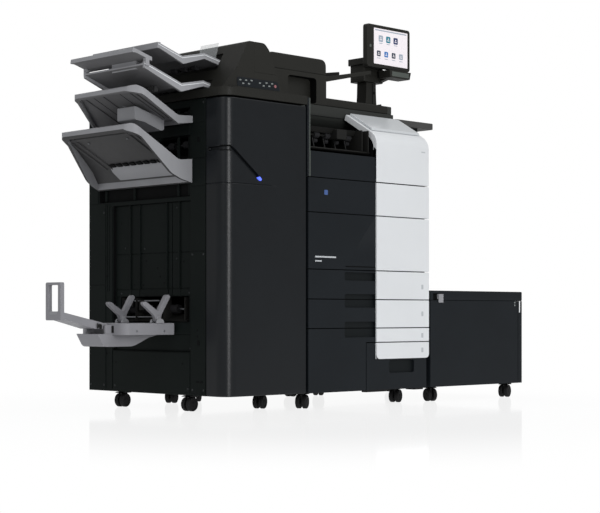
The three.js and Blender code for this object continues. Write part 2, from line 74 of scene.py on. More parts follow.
# Finishes. Each has its colour as 0-255 levels, then roughness, specular level, grain per metre and its relief
finishes = {
    "charcoalFront": dict(colour=(26, 30, 34), rough=0.38, specular=0.14, slot="charcoal"),
    # painted shade: a darker, greener copy of the front charcoal for side, back and under faces
    "charcoalShaded": dict(colour=(18, 23, 22), rough=0.5, specular=0.07, slot="charcoal"),
    "graphiteWarm": dict(colour=(36, 36, 33), rough=0.5, specular=0.18, slot="graphite"),
    # painted light: a lighter copy of the graphite for the scanner's lit curved front
    "graphiteLit": dict(colour=(50, 52, 50), rough=0.5, specular=0.2, slot="graphite"),
    "tableGrey": dict(colour=(72, 72, 71), rough=0.5, specular=0.2, slot="graphite"),
    "doorSatin": dict(colour=(14, 18, 22), rough=0.31, specular=0.3, slot="charcoal"),
    "pocketShade": dict(colour=(19, 23, 25), rough=0.5, specular=0.12, slot="charcoal"),
    "cornerGrey": dict(colour=(84, 90, 86), rough=0.4, specular=0.3, slot="graphite"),
    "insideBlack": dict(colour=(9, 10, 11), rough=0.7, specular=0.1, slot="charcoal"),
    "insideGrey": dict(colour=(29, 29, 28), rough=0.6, specular=0.15, slot="graphite"),
    "trayGrey": dict(colour=(150, 151, 155), rough=0.5, specular=0.25, slot="light_grey"),
    # painted shade: darker copies of the tray grey for the trays' undersides
    "trayShadeGrey": dict(colour=(72, 72, 73), rough=0.6, specular=0.15, slot="light_grey"),
    "trayHalfShadeGrey": dict(colour=(108, 108, 110), rough=0.6, specular=0.2, slot="light_grey"),
    "bookletGrey": dict(colour=(142, 142, 147), rough=0.5, specular=0.25, slot="pale_grey"),
    "stripeWhite": dict(colour=(226, 229, 232), rough=0.32, specular=0.4, drift=0.02, slot="white"),
    "insetGloss": dict(colour=(206, 210, 213), rough=0.12, specular=0.5, drift=0.02, grain=300, relief=0.01,
                       slot="white"),
    "markGrey": dict(colour=(190, 194, 198), rough=0.4, specular=0.3, drift=0.02, slot="white"),
    "casterBlack": dict(colour=(17, 17, 18), rough=0.45, specular=0.3, slot="caster_black"),
    "casterTread": dict(colour=(24, 24, 25), rough=0.65, specular=0.2, relief=0.1, slot="caster_tyre"),
    "zinc": dict(colour=(150, 153, 157), rough=0.35, metal=1.0, grain=260, stretch=(1, 1, 14), slot="steel"),
    "screwDark": dict(colour=(66, 68, 70), rough=0.4, metal=0.8, grain=500, slot="steel"),
    "rollerRubber": dict(colour=(44, 44, 46), rough=0.8, specular=0.1, relief=0.12, slot="graphite"),
    "keyGrey": dict(colour=(128, 133, 133), rough=0.45, specular=0.3, slot="light_grey"),
    "keyRed": dict(colour=(150, 98, 102), rough=0.45, specular=0.3, slot="light_grey"),
    "tonerYellow": dict(colour=(214, 178, 40), rough=0.45, slot="graphite"),
    "tonerMagenta": dict(colour=(168, 44, 96), rough=0.45, slot="graphite"),
    "tonerCyan": dict(colour=(30, 120, 170), rough=0.45, slot="graphite"),
    "leverGreen": dict(colour=(60, 120, 80), rough=0.5, slot="graphite"),
    "badgeBlue": dict(colour=(70, 96, 150), rough=0.3, specular=0.4, slot="graphite"),
    "iconNavy": dict(colour=(52, 66, 110), rough=0.3, slot="graphite"),
    "iconTeal": dict(colour=(58, 140, 160), rough=0.3, slot="graphite"),
    "iconSlate": dict(colour=(78, 86, 100), rough=0.3, slot="graphite"),
    "iconBlue": dict(colour=(70, 130, 200), rough=0.3, slot="graphite"),
    "iconPale": dict(colour=(170, 182, 196), rough=0.3, slot="light_grey"),
    "screenWhite": dict(colour=(206, 201, 205), rough=0.3, specular=0.2, glow=0.62, drift=0.005, relief=0.0,
                        slot="white"),
    "lampWhite": dict(colour=(225, 228, 230), rough=0.3, glow=0.2, slot="white"),
    "ledBlue": dict(colour=(84, 104, 236), rough=0.25, glow=1.2, slot="graphite"),
    "clearFlap": dict(colour=(196, 200, 202), rough=0.08, clear=0.75, relief=0.0, slot="platen_glass"),
    "platenClear": dict(colour=(120, 132, 134), rough=0.05, clear=0.6, relief=0.0, slot="platen_glass"),
}
made = {}


def linear(level):
    # 0-255 display levels to linear light
    c = np.array(level, float) / 255
    return (*np.where(c < 0.04045, c / 12.92, ((c + 0.055) / 1.055) ** 2.4), 1.0)


def finish(name):
    # base colour drifts with a broad noise, roughness with a middle one, and a fine grain lifts the surface
    if name in made:
        return made[name]
    f = dict(rough=0.5, specular=0.3, metal=0.0, grain=1500, relief=0.05, drift=0.1, glow=0.0, clear=0.0,
             stretch=(1, 1, 1))
    f.update(finishes[name])
    material = bpy.data.materials.new(name)
    material.use_nodes = True
    tree = material.node_tree
    new, link = tree.nodes.new, tree.links.new
    shader = tree.nodes["Principled BSDF"]
    coords, mapping = new("ShaderNodeTexCoord"), new("ShaderNodeMapping")
    mapping.inputs["Scale"].default_value = f["stretch"]
    link(coords.outputs["Object"], mapping.inputs["Vector"])
    noises = []
    for scale, detail in ((4.5, 3), (60, 4), (f["grain"], 2)):
        noise = new("ShaderNodeTexNoise")
        noise.inputs["Scale"].default_value = scale
        noise.inputs["Detail"].default_value = detail
        link(mapping.outputs["Vector"], noise.inputs["Vector"])
        noises.append(noise)
    ramp = new("ShaderNodeValToRGB")
    colour = np.array(linear(f["colour"]))
    ramp.color_ramp.elements[0].position, ramp.color_ramp.elements[1].position = 0.3, 0.7
    for element, gain in zip(ramp.color_ramp.elements, (1 - f["drift"], 1 + f["drift"])):
        element.color = (*np.clip(colour[:3] * gain, 0, 1), 1)
    link(noises[0].outputs["Fac"], ramp.inputs["Fac"])
    link(ramp.outputs["Color"], shader.inputs["Base Color"])
    spread = new("ShaderNodeMapRange")
    spread.inputs["To Min"].default_value = max(0.02, f["rough"] - 0.06)
    spread.inputs["To Max"].default_value = f["rough"] + 0.06
    link(noises[1].outputs["Fac"], spread.inputs["Value"])
    link(spread.outputs["Result"], shader.inputs["Roughness"])
    bump = new("ShaderNodeBump")
    bump.inputs["Strength"].default_value = 0.35
    bump.inputs["Distance"].default_value = f["relief"] * 0.001
    link(noises[2].outputs["Fac"], bump.inputs["Height"])
    link(bump.outputs["Normal"], shader.inputs["Normal"])
    shader.inputs["Specular IOR Level"].default_value = f["specular"]
    shader.inputs["Metallic"].default_value = f["metal"]
    if f["glow"]:
        shader.inputs["Emission Color"].default_value = linear(f["colour"])
        shader.inputs["Emission Strength"].default_value = f["glow"]
    if f["clear"]:
        shader.inputs["Alpha"].default_value = 1 - f["clear"]
    material.diffuse_color = linear(f["colour"])
    made[name] = material
    return material


# Shapes. Each is (points, groups of faces), and every group has faces with the same number of corners
def gridQuads(rows, cols, wrap=False):
    # square i, j joins four neighbours of a rows x cols grid, closed round its columns if wrap
    i = np.arange(rows * cols).reshape(rows, cols)
    if wrap:
        i = np.concatenate([i, i[:, :1]], 1)
    return np.stack([i[:-1, :-1], i[:-1, 1:], i[1:, 1:], i[1:, :-1]], -1).reshape(-1, 4)


def softOutline(corners, steps):
    # a corner [a, b, r] is cut r before and after it, and a parabola through the corner joins the two cuts
    c = np.array([(*p, 0)[:3] for p in corners], float)
    p, r = c[:, :2], c[:, 2:]
    back, ahead = np.roll(p, 1, 0) - p, np.roll(p, -1, 0) - p
    a = p + back / np.linalg.norm(back, axis=1, keepdims=True) * r
    b = p + ahead / np.linalg.norm(ahead, axis=1, keepdims=True) * r
    t = np.linspace(0, 1, steps)[:, None, None]
    points = ((1 - t) ** 2 * a + 2 * t * (1 - t) * p + t**2 * b).transpose(1, 0, 2).reshape(-1, 2)
    return points[np.linalg.norm(points - np.roll(points, 1, 0), axis=1) > 1e-6]


def prism(axis, corners, low, high, steps=9):
    # the outline in the two other axes, drawn out along axis from low to high
    ring = softOutline(corners, steps)
    n = len(ring)
    u, v, w = axesOf[axis]
    points = np.empty((2, n, 3))
    points[..., u], points[..., v] = ring[:, 0], ring[:, 1]
    points[..., w] = np.array([[low], [high]])
    caps = np.arange(2 * n).reshape(2, n)
    return points.reshape(-1, 3), [gridQuads(2, n, wrap=True), caps]


def rectangle(a0, a1, b0, b1, r=0):
    # four corners, each rounded by r
    return [[a0, b0, r], [a1, b0, r], [a1, b1, r], [a0, b1, r]]


def slab(x0, x1, y0, y1, z0, z1, r=0, axis="z"):
    # a plate whose corners are rounded by r in the plane across axis
    lows, highs = (x0, y0, z0), (x1, y1, z1)
    u, v, w = axesOf[axis]
    return prism(axis, rectangle(lows[u], highs[u], lows[v], highs[v], r), lows[w], highs[w])


def lathe(axis, centre, profile, sides=24):
    # profile points (radius, height) turned about the axis through centre
    radius, height = np.array(profile, float).T
    turn = np.linspace(0, 2 * np.pi, sides, endpoint=False)
    u, v, w = axesOf[axis]
    points = np.empty((len(radius), sides, 3))
    points[..., u] = centre[u] + radius[:, None] * np.cos(turn)
    points[..., v] = centre[v] + radius[:, None] * np.sin(turn)
    points[..., w] = centre[w] + height[:, None]
    return points.reshape(-1, 3), [gridQuads(len(radius), sides, wrap=True)]


def rod(axis, centre, radius, length, sides=20, soft=0.6):
    # a round bar centred on centre, with its rims rounded by soft
    h = length / 2
    return lathe(axis, centre, [(0, -h), (radius - soft, -h), (radius, soft - h), (radius, h - soft),
                                (radius - soft, h), (0, h)], sides)


def screws(axis, sign, radius, places):
    # round heads with a hollow in the middle, seated on the surface at each place
    profile = [(0, -0.4), (0.42 * radius, -0.4), (0.5 * radius, 1.1), (0.82 * radius, 1.0), (radius, 0.2),
               (radius, -0.5)]
    turned = [(r, h * sign) for r, h in profile] + [(0, -0.5 * sign)]
    return [lathe(axis, p, turned, 14) for p in places]


def cadShape(node):
    # the node's own triangles, in millimetres from the machine's corner
    mesh = nodes[node].data
    points, index = np.empty(len(mesh.vertices) * 3, np.float32), np.empty(len(mesh.loops), np.int32)
    mesh.vertices.foreach_get("co", points)
    mesh.loops.foreach_get("vertex_index", index)
    return (points.reshape(-1, 3) - corner) * 1000, [index.reshape(-1, 3)]


def addPiece(name, shapes, look, body="frame", edge=0.0, angle=32, zones=None, cuts=(), standsFor=(), fromCad=False,
             held=False):
    # builds one object; zones(centres, normals) picks each face's look, cuts (axis, place) split faces for it, and held
    # keeps the soft edges from overlapping on thin shapes
    points, faces, start = [], [], 0
    for part, groups in shapes:
        points.append(part)
        for group in groups:
            faces += (group + start).tolist()
        start += len(part)
    mesh = bpy.data.meshes.new(name)
    mesh.from_pydata((np.concatenate(points) * 0.001 + corner).tolist(), [], faces)
    looks = [look] if isinstance(look, str) else list(look)
    for item in looks:
        mesh.materials.append(finish(item))
    bm = bmesh.new()
    bm.from_mesh(mesh)
    bmesh.ops.remove_doubles(bm, verts=bm.verts, dist=1e-5)
    for axis, at in cuts:
        w = axesOf[axis][2]
        spot, way = Vector(corner), Vector((0, 0, 0))
        spot[w] += at * 0.001
        way[w] = 1
        bmesh.ops.bisect_plane(bm, geom=bm.verts[:] + bm.edges[:] + bm.faces[:], plane_co=spot, plane_no=way)
    if not fromCad:
        bmesh.ops.recalc_face_normals(bm, faces=bm.faces)
    bm.to_mesh(mesh)
    if zones:
        middle, way = np.empty(len(mesh.polygons) * 3), np.empty(len(mesh.polygons) * 3)
        mesh.polygons.foreach_get("center", middle)
        mesh.polygons.foreach_get("normal", way)
        chosen = zones((middle.reshape(-1, 3) - corner) * 1000, way.reshape(-1, 3))
        mesh.polygons.foreach_set("material_index", np.asarray(chosen, np.int32))
    if fromCad:
        bm.clear()
        bm.from_mesh(mesh)
        bmesh.ops.dissolve_limit(bm, angle_limit=0.01, verts=bm.verts, edges=bm.edges, delimit={"MATERIAL"})
        bm.to_mesh(mesh)
    bm.free()
    mesh.shade_smooth()
    piece = bpy.data.objects.new(name, mesh)
    bpy.context.scene.collection.objects.link(piece)
    if edge:
        bevel = piece.modifiers.new("softEdges", "BEVEL")
        bevel.limit_method, bevel.angle_limit = "ANGLE", math.radians(angle)
        bevel.width, bevel.segments = edge * 0.001, 2
        bevel.use_clamp_overlap, bevel.harden_normals = held, True
    else:
        mesh.set_sharp_from_angle(angle=math.radians(angle))
    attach(piece, body)
    if standsFor:
        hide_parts(*standsFor)
    return piece


def carryOver(node, look, body=None, edge=0.9, extra=(), farthest=None, **more):
    # the CAD node's shape with softened edges, held back to x = farthest, and any extra shapes on the same object
    points, groups = cadShape(node)
    if farthest is not None:
        points[:, 0] = np.minimum(points[:, 0], farthest)
    return addPiece(node + "_shell", [(points, groups), *extra], look, body or node, edge=edge, standsFor=[node],
                    fromCad=True, **more)


def inside(c, x=None, y=None, z=None):
    # true for the centres that lie within every span given
    ok = np.ones(len(c), bool)
    for w, span in enumerate((x, y, z)):
        if span:
            ok &= (c[:, w] > span[0]) & (c[:, w] < span[1])
    return ok


# Engine: cabinet, doors and drawers
engine = dict(cavity=(18, 318, 838, 918), shaftZ=892, shaftY=70, rollers=5, marks=(398, 306, 232, 182))


def engineZones(c, n):
    # painted shade: the darker wall colour behind the front edge; black inside, a light strip up the exit bay's left
    # edge
    look = np.where(inside(c, y=(13.5, 700)), 1, 0)
    look[inside(c, x=(16, 590), y=(13.5, 600), z=(50, 930))] = 2
    look[inside(c, x=(8.5, 16.5), z=(745, 998)) & (c[:, 1] < 16)] = 3
    return look


carryOver("engine_cabinet", ["charcoalFront", "charcoalShaded", "insideBlack", "cornerGrey"], "frame",
          zones=engineZones, cuts=[("y", 14), ("x", 8.5), ("x", 16)])

x0, x1, z0, z1 = engine["cavity"]
rollerX = np.linspace(x0 + 40, x1 - 60, engine["rollers"])
exitParts = [
    prism("x", [[20, 842], [26, 838], [230, 872], [230, 876], [24, 846]], x0 + 2, x1 - 2),
    rod("x", ((x0 + x1) / 2, engine["shaftY"], engine["shaftZ"]), 4, x1 - x0 - 8),
    prism("x", [[44, 915], [56, 899], [120, 899], [132, 915]], x0 + 6, x1 - 44),
    slab(x1 - 42, x1 - 38, 20, 160, 846, 916), slab(x1 - 16, x1 - 12, 16, 190, 842, 916),
    slab(x0 + 150, x0 + 196, 30, 66, 880, 912, 3, "y"),
]
addPiece("exit_guides", exitParts, "insideGrey", edge=0.6)
addPiece("exit_rollers", [rod("x", (a, engine["shaftY"], engine["shaftZ"]), 11, 22, 24, 1.5) for a in rollerX]
         + [rod("x", (a, engine["shaftY"] + 4, engine["shaftZ"] - 19), 7, 16, 20, 1) for a in rollerX],
         "rollerRubber")
addPiece("exit_sensor_arms", [prism("x", [[60, 880], [66, 880], [58, 852], [52, 850]], a - 2, a + 2)
                              for a in rollerX[:-1] + 26], "casterBlack", edge=0.4)


# Handle pockets, each as its span across and its span in height
pockets = [((173, 320), (415, 442)), ((173, 320), (326, 371)), ((173, 320), (228, 280)), ((389, 516), (107, 151))]


def stripeZones(c, n):
    # white on the front to the right of the colour line, black inside
    return np.where((c[:, 0] > whiteLeft - 0.5) & (c[:, 1] < 12.5) & (c[:, 2] > whiteLow - 1), 1,
                    np.where(inside(c, y=(14, 600)), 2, 0))


def pocketZones(c, n):
    # as stripeZones, with painted shade in the pockets: black on the faces turned down and towards +x, darker backs
    look = stripeZones(c, n)
    for x, z in pockets:
        well = inside(c, x=(x[0] - 1, x[1] + 1), y=(0.5, 9.6), z=(z[0] - 1, z[1] + 1))
        look[well & ((n[:, 2] < -0.5) | (n[:, 0] > 0.5))] = 3
        look[well & (n[:, 1] < -0.5) & (c[:, 1] > 1.5)] = 2
    return look


frontLooks = ["charcoalFront", "stripeWhite", "pocketShade", "insideBlack"]
for node in ("toner_door", "front_door"):
    carryOver(node, frontLooks, zones=stripeZones, cuts=[("x", whiteLeft)], edge=1.1, held=True)
for node in ("tray_1", "tray_2", "tray_3", "tray_4"):
    carryOver(node, frontLooks, zones=pocketZones, cuts=[("x", whiteLeft), ("z", whiteLow)], edge=0.8, held=True)
# Rounded pocket corners, each as (x, z, way across, way up)
corners = {"tray_1": [(173, 415, 1, 1), (173, 442, 1, -1), (173, 371, 1, -1)],
           "tray_2": [(173, 326, 1, 1), (173, 280, 1, -1)],
           "tray_3": [(173, 228, 1, 1)],
           "tray_4": [(389, 107, 1, 1), (516, 107, -1, 1), (389, 151, 1, -1), (516, 151, -1, -1)]}


def cornerFill(x, z, sx, sz, r, y0, y1):
    # a square corner at x, z less a quarter circle of radius r that opens the way sx, sz
    arc = [[x + sx * r * (1 - np.sin(t)), z + sz * r * (1 - np.cos(t))] for t in np.linspace(0, np.pi / 2, 7)]
    return prism("y", [[x, z]] + arc[::sx * sz], y0, y1)


for node, places in corners.items():
    addPiece(node + "_corners", [cornerFill(*place, 9, 0.6, 9) for place in places], "charcoalFront", node)
addPiece("white_corner", [cornerFill(whiteLeft, whiteLow, 1, 1, 12, frontWhite - 0.3, frontWhite + 1)], "charcoalFront",
         "tray_4")
addPiece("front_door_slot", [slab(181, 317, -0.4, 1, 459.5, 462.5)], "insideBlack", "front_door")

# Drawers: a lift plate with holes, two side guides and a guide lever stand on each drawer's floor
drawers = {"tray_1": (26, 562, 360, 560, 74), "tray_2": (26, 562, 266, 560, 72),
           "tray_3": (26, 262, 64, 540, 130), "tray_4": (296, 562, 64, 540, 126)}
for node, (x0, x1, z0, y1, high) in drawers.items():
    plate = slab(x0 + 14, x1 - 14, 40, y1 - 30, z0 + 6, z0 + 8, 6)
    # black discs on the plate stand in for its holes, painted shade
    holes = [rod("z", (x, y, z0 + 8.2), 5, 0.8, 16, 0.2) for x in (x0 + 60, x1 - 60) for y in (120, 300, 460)]
    addPiece(node + "_lift_plate", [plate], "zinc", node, edge=0.5)
    addPiece(node + "_plate_holes", holes, "insideBlack", node)
    guides = [slab(x0 + 22, x1 - 22, y, y + 3, z0 + 8, z0 + high, 8, "y") for y in (66, y1 - 60)]
    addPiece(node + "_side_guides", guides, "casterBlack", node, edge=0.6)
    addPiece(node + "_guide_lever", [slab((x0 + x1) / 2 - 14, (x0 + x1) / 2 + 14, 60, 72, z0 + 20, z0 + 44, 4, "y")],
             "leverGreen", node, edge=1)

# Level marks on the white fronts, and two plain bars and a plain square on the dark fronts
for node, z in zip(("tray_1", "tray_2", "tray_3", "tray_4"), engine["marks"]):
    addPiece(node + "_mark", [slab(548, 558, frontWhite - 0.5, frontWhite + 1, z - 8, z + 8, 2, "y"),
                              slab(551, 555, frontWhite - 0.9, frontWhite + 1, z - 5, z + 1, 1, "y")], "markGrey", node)
addPiece("cover_mark", [slab(548, 568, frontWhite - 0.4, frontWhite + 1, 859, 863, 1, "y")], "markGrey")
addPiece("front_door_bars", [slab(36, 132, -0.7, 0.5, 487, 492, 1, "y"), slab(36, 66, -0.7, 0.5, 474, 478, 1, "y")],
         "markGrey", "front_door")
addPiece("toner_door_badge", [slab(78, 94, -1.0, 0.5, 690, 706, 3, "y")], "badgeBlue", "toner_door", edge=0.4)

addPiece("engine_base_rails", [slab(300, 400, 20, 44, 44, 53, 3, "x"), slab(540, 584, 18, 60, 45, 53, 3, "x"),
                               slab(20, 568, 60, 90, 47, 53, 2, "x")], "casterBlack", edge=0.8)

# White cover: upright below, leaning back above, with a glossy plate let into the slope
cover = [[frontWhite, 746], [frontWhite, 896, 26], [22, 917, 10], [138, 984, 4], [146, 965, 3], [24, 893, 12],
         [12, 873, 8], [12, 852], [-0.6, 852], [-0.6, 746]]
addPiece("top_cover_shell", [prism("x", cover, whiteLeft, engineRight, 14)], "stripeWhite", edge=2.2, angle=40,
         standsFor=["top_cover"])
addPiece("top_cover_plate", [prism("x", [[27, 921.5], [30, 930.5, 2.5], [128, 987.5, 2], [131, 980]], whiteLeft + 12,
                                   engineRight - 12)], "insetGloss", edge=1.2)

# Toner bottles with coloured caps in a carrier
bottles = dict(pitch=128, first=102, radius=38, height=686,
               looks=["tonerYellow", "tonerMagenta", "tonerCyan", "casterBlack"])
bottleX = bottles["first"] + bottles["pitch"] * np.arange(4)
addPiece("toner_carrier", [slab(40, 548, 60, 400, 643, 652, 8)]
         + [slab(x - 3, x + 3, 66, 394, 650, 682, 2, "y") for x in (bottleX[1:] + bottleX[:-1]) / 2], "insideGrey",
         edge=0.8, standsFor=["toner_rack"])
r = bottles["radius"]
bottleSide = [(0, -140), (r - 3, -140), (r, -136), (r, 160), (r - 5, 165), (0, 165)]
capSide = [(0, -164), (12, -164), (13, -152), (r - 6, -150), (r - 3, -141), (r - 3, -139), (0, -139)]
for i, (x, look) in enumerate(zip(bottleX, bottles["looks"]), 1):
    centre = (x, 235, bottles["height"])
    addPiece("toner_bottle_%d" % i, [lathe("y", centre, bottleSide, 32)], "insideGrey")
    addPiece("toner_cap_%d" % i, [lathe("y", centre, capSide, 32)], look)

# Side cover with its screws, then the louvres, panels, screws and inlet on the engine's back
# the side cover takes the darker wall charcoal, painted shade
carryOver("side_cover", ["charcoalShaded", "insideBlack"], "frame", edge=1.6,
          zones=lambda c, n: inside(c, x=(0, 593.5), y=(100, 130), z=(600, 700)) * 1)
addPiece("side_cover_screws", screws("x", 1, 4, [(596, y, z) for y in (84, 626) for z in (414, 886)]), "screwDark")
louvre = [[0, 0], [0, 3], [-5, 9], [-5, 6]]
backY = 684
vents = [prism("x", [[backY - 1.5 - a, z + b] for a, b in louvre], x, x + 150)
         for x in (90, 350) for z in np.arange(120, 260, 14)]
addPiece("engine_rear_louvres", vents, "charcoalShaded", edge=0.4)
# black plates behind the louvres: painted shade for the dark inside of the vents
addPiece("engine_rear_vent_backs", [slab(x - 4, x + 154, backY - 2, backY + 0.4, 114, 262, 4, "y") for x in (90, 350)],
         "insideBlack")
addPiece("engine_rear_panels", [slab(20, 570, backY - 1, backY + 1.2, z + 3, z1 - 3, 6, "y")
                                for z, z1 in ((280, 560), (560, 820), (820, 912))], "charcoalShaded", edge=0.8)
addPiece("engine_rear_screws", screws("y", 1, 4, [(x, backY + 1.2, z) for x in (32, 295, 558)
                                                  for z in (292, 548, 572, 808, 832, 900)]), "screwDark")
addPiece("engine_rear_inlet", [slab(500, 536, backY - 1, backY + 3, 84, 108, 3, "y")], "casterBlack", edge=0.6)
addPiece("engine_rear_inlet_pins", [slab(a, a + 3, backY + 1, backY + 4, 92, 100) for a in (508, 516.5, 525)], "zinc")
print("engine done")

# Scanner: the front curves back under its top edge
scannerSide = [[150, 1005], [150, 966, 14], [186, 930, 40], [684, 930], [684, 1005]]
ringTop, ringLow = 1005, 992
scannerParts = [prism("x", [[150, ringLow]] + scannerSide[1:4] + [[684, ringLow]], 2, 576, 14),
                slab(2, 576, 150, 200, ringLow - 1, ringTop), slab(2, 576, 560, 684, ringLow - 1, ringTop),
                slab(2, 60, 199, 561, ringLow - 1, ringTop), slab(500, 576, 199, 561, ringLow - 1, ringTop),
                prism("x", rectangle(150, 660, ringTop - 1, 1033, 5), 545, 566)]
# the scanner takes the lighter graphite, painted light
addPiece("scanner_shell", scannerParts, "graphiteLit", edge=0.9, standsFor=["scanner_housing"])
addPiece("scanner_seam", [slab(1.2, 576.8, 149.2, 682, 968, 969.6)], "insideBlack")
addPiece("scanner_well", [slab(60, 500, 200, 560, 990, 993)], "insideBlack")
addPiece("scanner_lamp_bar", [slab(96, 116, 204, 556, 993, 996, 2)], "lampWhite", edge=0.5)
nodes["platen_glass"].data.materials.clear()
nodes["platen_glass"].data.materials.append(finish("platenClear"))
addPiece("scan_size_rule", [slab(62, 498, 190, 197, 1004.6, 1005.4)], "keyGrey")
# black slits: painted shade for the vent openings
addPiece("scanner_rear_vents", [slab(250 + i * 11, 256 + i * 11, 683, 684.8, 944, 964, 2, "y") for i in range(14)],
         "insideBlack")

# Document feeder: flat lid, tower with a mouth, rounded cover and a rising tray
hump = dict(left=-38, right=240, split=1108, top=1160, back=660, front=150)


def lidZones(c, n):
    # painted shade: black on the ceiling and the side facing -x in the tower's mouth; black also in the slot where
    # sheets leave
    mouth = inside(c, x=(58, 195), y=(151, 179), z=(1007, 1095)) & ((n[:, 2] < -0.3) | (n[:, 0] < -0.3))
    return (mouth | inside(c, x=(149, 239.5), y=(239, 541), z=(1037, 1061))) * 1


carryOver("feeder_lid", ["graphiteWarm", "insideBlack"], "feeder", edge=1.6, angle=25, held=True, zones=lidZones)
cover = [[hump["left"], hump["split"] + 0.6], [hump["right"], hump["split"] + 0.6], [hump["right"], hump["top"], 26],
         [hump["left"], hump["top"], 34]]
addPiece("feeder_cover_shell", [prism("y", cover, hump["front"], hump["back"], 14)], "graphiteWarm", "feeder_cover",
         edge=3, angle=40, standsFor=["feeder_cover"])
addPiece("feeder_cover_grip", [slab(hump["right"] - 1.5, hump["right"] + 0.7, 330, 470, 1112, 1124, 4, "x")],
         "insideBlack", "feeder_cover")
addPiece("feeder_backing", [slab(22, 530, 170, 640, 1005.3, 1006.4, 6)], "stripeWhite", "feeder")
carryOver("feeder_tray", "graphiteWarm", "feeder", edge=1.0)
ramp = dict(foot=240, low=1101, rise=60, run=304)


def onSlope(*points):
    # lifts (x, height) points onto the feeder tray's rising face
    return [[x, ramp["low"] + (x - ramp["foot"]) * ramp["rise"] / ramp["run"] + h, *soft] for x, h, *soft in points]


guideRails = [prism("y", onSlope((270, -1), (420, -1), (420, 16, 4), (282, 22, 6), (270, 18, 4)), y, y + 4)
              for y in (262, 514)]
addPiece("feeder_side_guides", guideRails, "insideGrey", "feeder", edge=0.8)
addPiece("feeder_tray_ribs", [prism("y", onSlope((262, -1), (530, -1), (530, 1.2), (262, 1.2)), y, y + 2.5)
                              for y in np.linspace(300, 480, 6)], "graphiteWarm", "feeder", edge=0.4)
addPiece("feeder_hinges", [slab(x, x + 36, 655, 676, 1000, 1026, 3, "x") for x in (80, 440)], "casterBlack", edge=0.8)
# a black strip: painted shade for the pickup slot
addPiece("feeder_pickup_slot", [slab(hump["right"] - 3, hump["right"] + 0.6, 244, 536, 1101, 1105.5)], "insideBlack",
         "feeder")
print("scanner and feeder done")

# Side table, column, head and touch screen
post = dict(x=631, y=330)
px, py = post["x"], post["y"]
addPiece("work_table_top", [slab(588.4, 795, 150, 470, tableTop - 22, tableTop, 12)], "tableGrey", edge=2.2,
         standsFor=["work_table"])
addPiece("work_table_pad", [slab(684, 787, 158, 462, tableTop - 1, tableTop + 1, 6)], "rollerRubber", edge=0.5)
addPiece("work_table_frame", [slab(600, 730, 170, 450, tableTop - 34, tableTop - 21, 4)], "charcoalShaded", edge=1)
flare = [[-38, tableTop + 0.4], [38, tableTop + 0.4], [33, 1030, 12], [27, 1078, 26], [25, 1142], [-25, 1142],
         [-27, 1078, 26], [-33, 1030, 12]]
addPiece("panel_column_shell", [prism("y", [[px + a, *rest] for a, *rest in flare], py - 24, py + 24,
                                      12)], "graphiteWarm", edge=2, standsFor=["panel_column"])
addPiece("panel_column_foot", [prism("y", [[px - 37, tableTop + 0.5], [px + 12, 1036, 12],
                                           [px + 30, 1066, 4], [px + 31, 1040, 14],
                                           [px + 44, tableTop + 0.5]], py - 46, py - 23)],
         "graphiteWarm", edge=2)
addPiece("panel_column_strip", [slab(px + 4, px + 7, py - 24.8, py - 23, 1010, 1138)],
         "insideBlack")
addPiece("panel_column_socket", [slab(px + 10, px + 18, py - 25, py - 23, 1100, 1110, 1, "y")],
         "insideBlack")
carryOver("panel_head", "graphiteWarm", edge=1.2)
addPiece("panel_shelf_front", [slab(px + 30, px + 120, py - 98.8, py - 97, 1161, 1178, 2, "y")],
         "cornerGrey", "panel_head", edge=0.6)
screen = dict(left=547, right=775, low=1187, high=1339, front=248, bezelLeft=36, bezel=11)
sL, sR = screen["left"] + screen["bezelLeft"], screen["right"] - screen["bezel"] - 1
sZ0, sZ1 = screen["low"] + 13, screen["high"] - 11
carryOver("tablet", "graphiteWarm", edge=1.4)
addPiece("tablet_screen", [slab(sL, sR, screen["front"] + 0.6, screen["front"] + 2.4, sZ0, sZ1, 2, "y")], "screenWhite",
         "tablet")
faceY = screen["front"] + 0.6


def icon(x, z, size, look, name):
    # a soft square with a lighter bar and dot on it
    s = size / 2
    addPiece(name, [slab(x - s, x + s, faceY - 0.3, faceY + 0.4, z - s, z + s, s * 0.35, "y")], look, "tablet")
    addPiece(name + "_sign", [slab(x - s * 0.5, x + s * 0.5, faceY - 0.5, faceY, z - s * 0.45, z - s * 0.2, 0.3, "y"),
                              slab(x - s * 0.22, x + s * 0.22, faceY - 0.5, faceY, z, z + s * 0.44, s * 0.2, "y")],
             "screenWhite", "tablet")


wide = sR - sL
for i, (part, look) in enumerate(((0.20, "iconPale"), (0.42, "iconTeal"), (0.64, "iconNavy"))):
    icon(sL + wide * part, sZ1 - 36, 23, look, "icon_upper_%d" % (i + 1))
for i, (part, look) in enumerate(((0.14, "iconSlate"), (0.36, "iconBlue"), (0.58, "iconSlate"), (0.80, "iconPale"))):
    icon(sL + wide * part, sZ0 + 38, 20, look, "icon_lower_%d" % (i + 1))
addPiece("screen_bars", [slab(sL + 6, sR - 6, faceY - 0.2, faceY + 0.3, sZ1 - 9, sZ1 - 5, 1, "y")]
         + [slab(sL + wide * p - 9, sL + wide * p + 9, faceY - 0.2, faceY + 0.3, z, z + 2.5, 1, "y")
            for z, places in ((sZ1 - 54, (0.20, 0.42, 0.64)), (sZ0 + 20, (0.14, 0.36, 0.58, 0.80))) for p in places],
         "iconPale", "tablet")
addPiece("tablet_key", [slab(screen["left"] + 12, screen["left"] + 22, screen["front"] - 0.8, screen["front"] + 1,
                             1256, 1266, 4, "y")], "cornerGrey", "tablet", edge=0.3)
addPiece("tablet_side_button", [slab(screen["right"] - 0.6, screen["right"] + 1.2, 254, 263, 1288, 1304, 3, "x")],
         "insideGrey", "tablet", edge=0.3)
print("table and panel done")

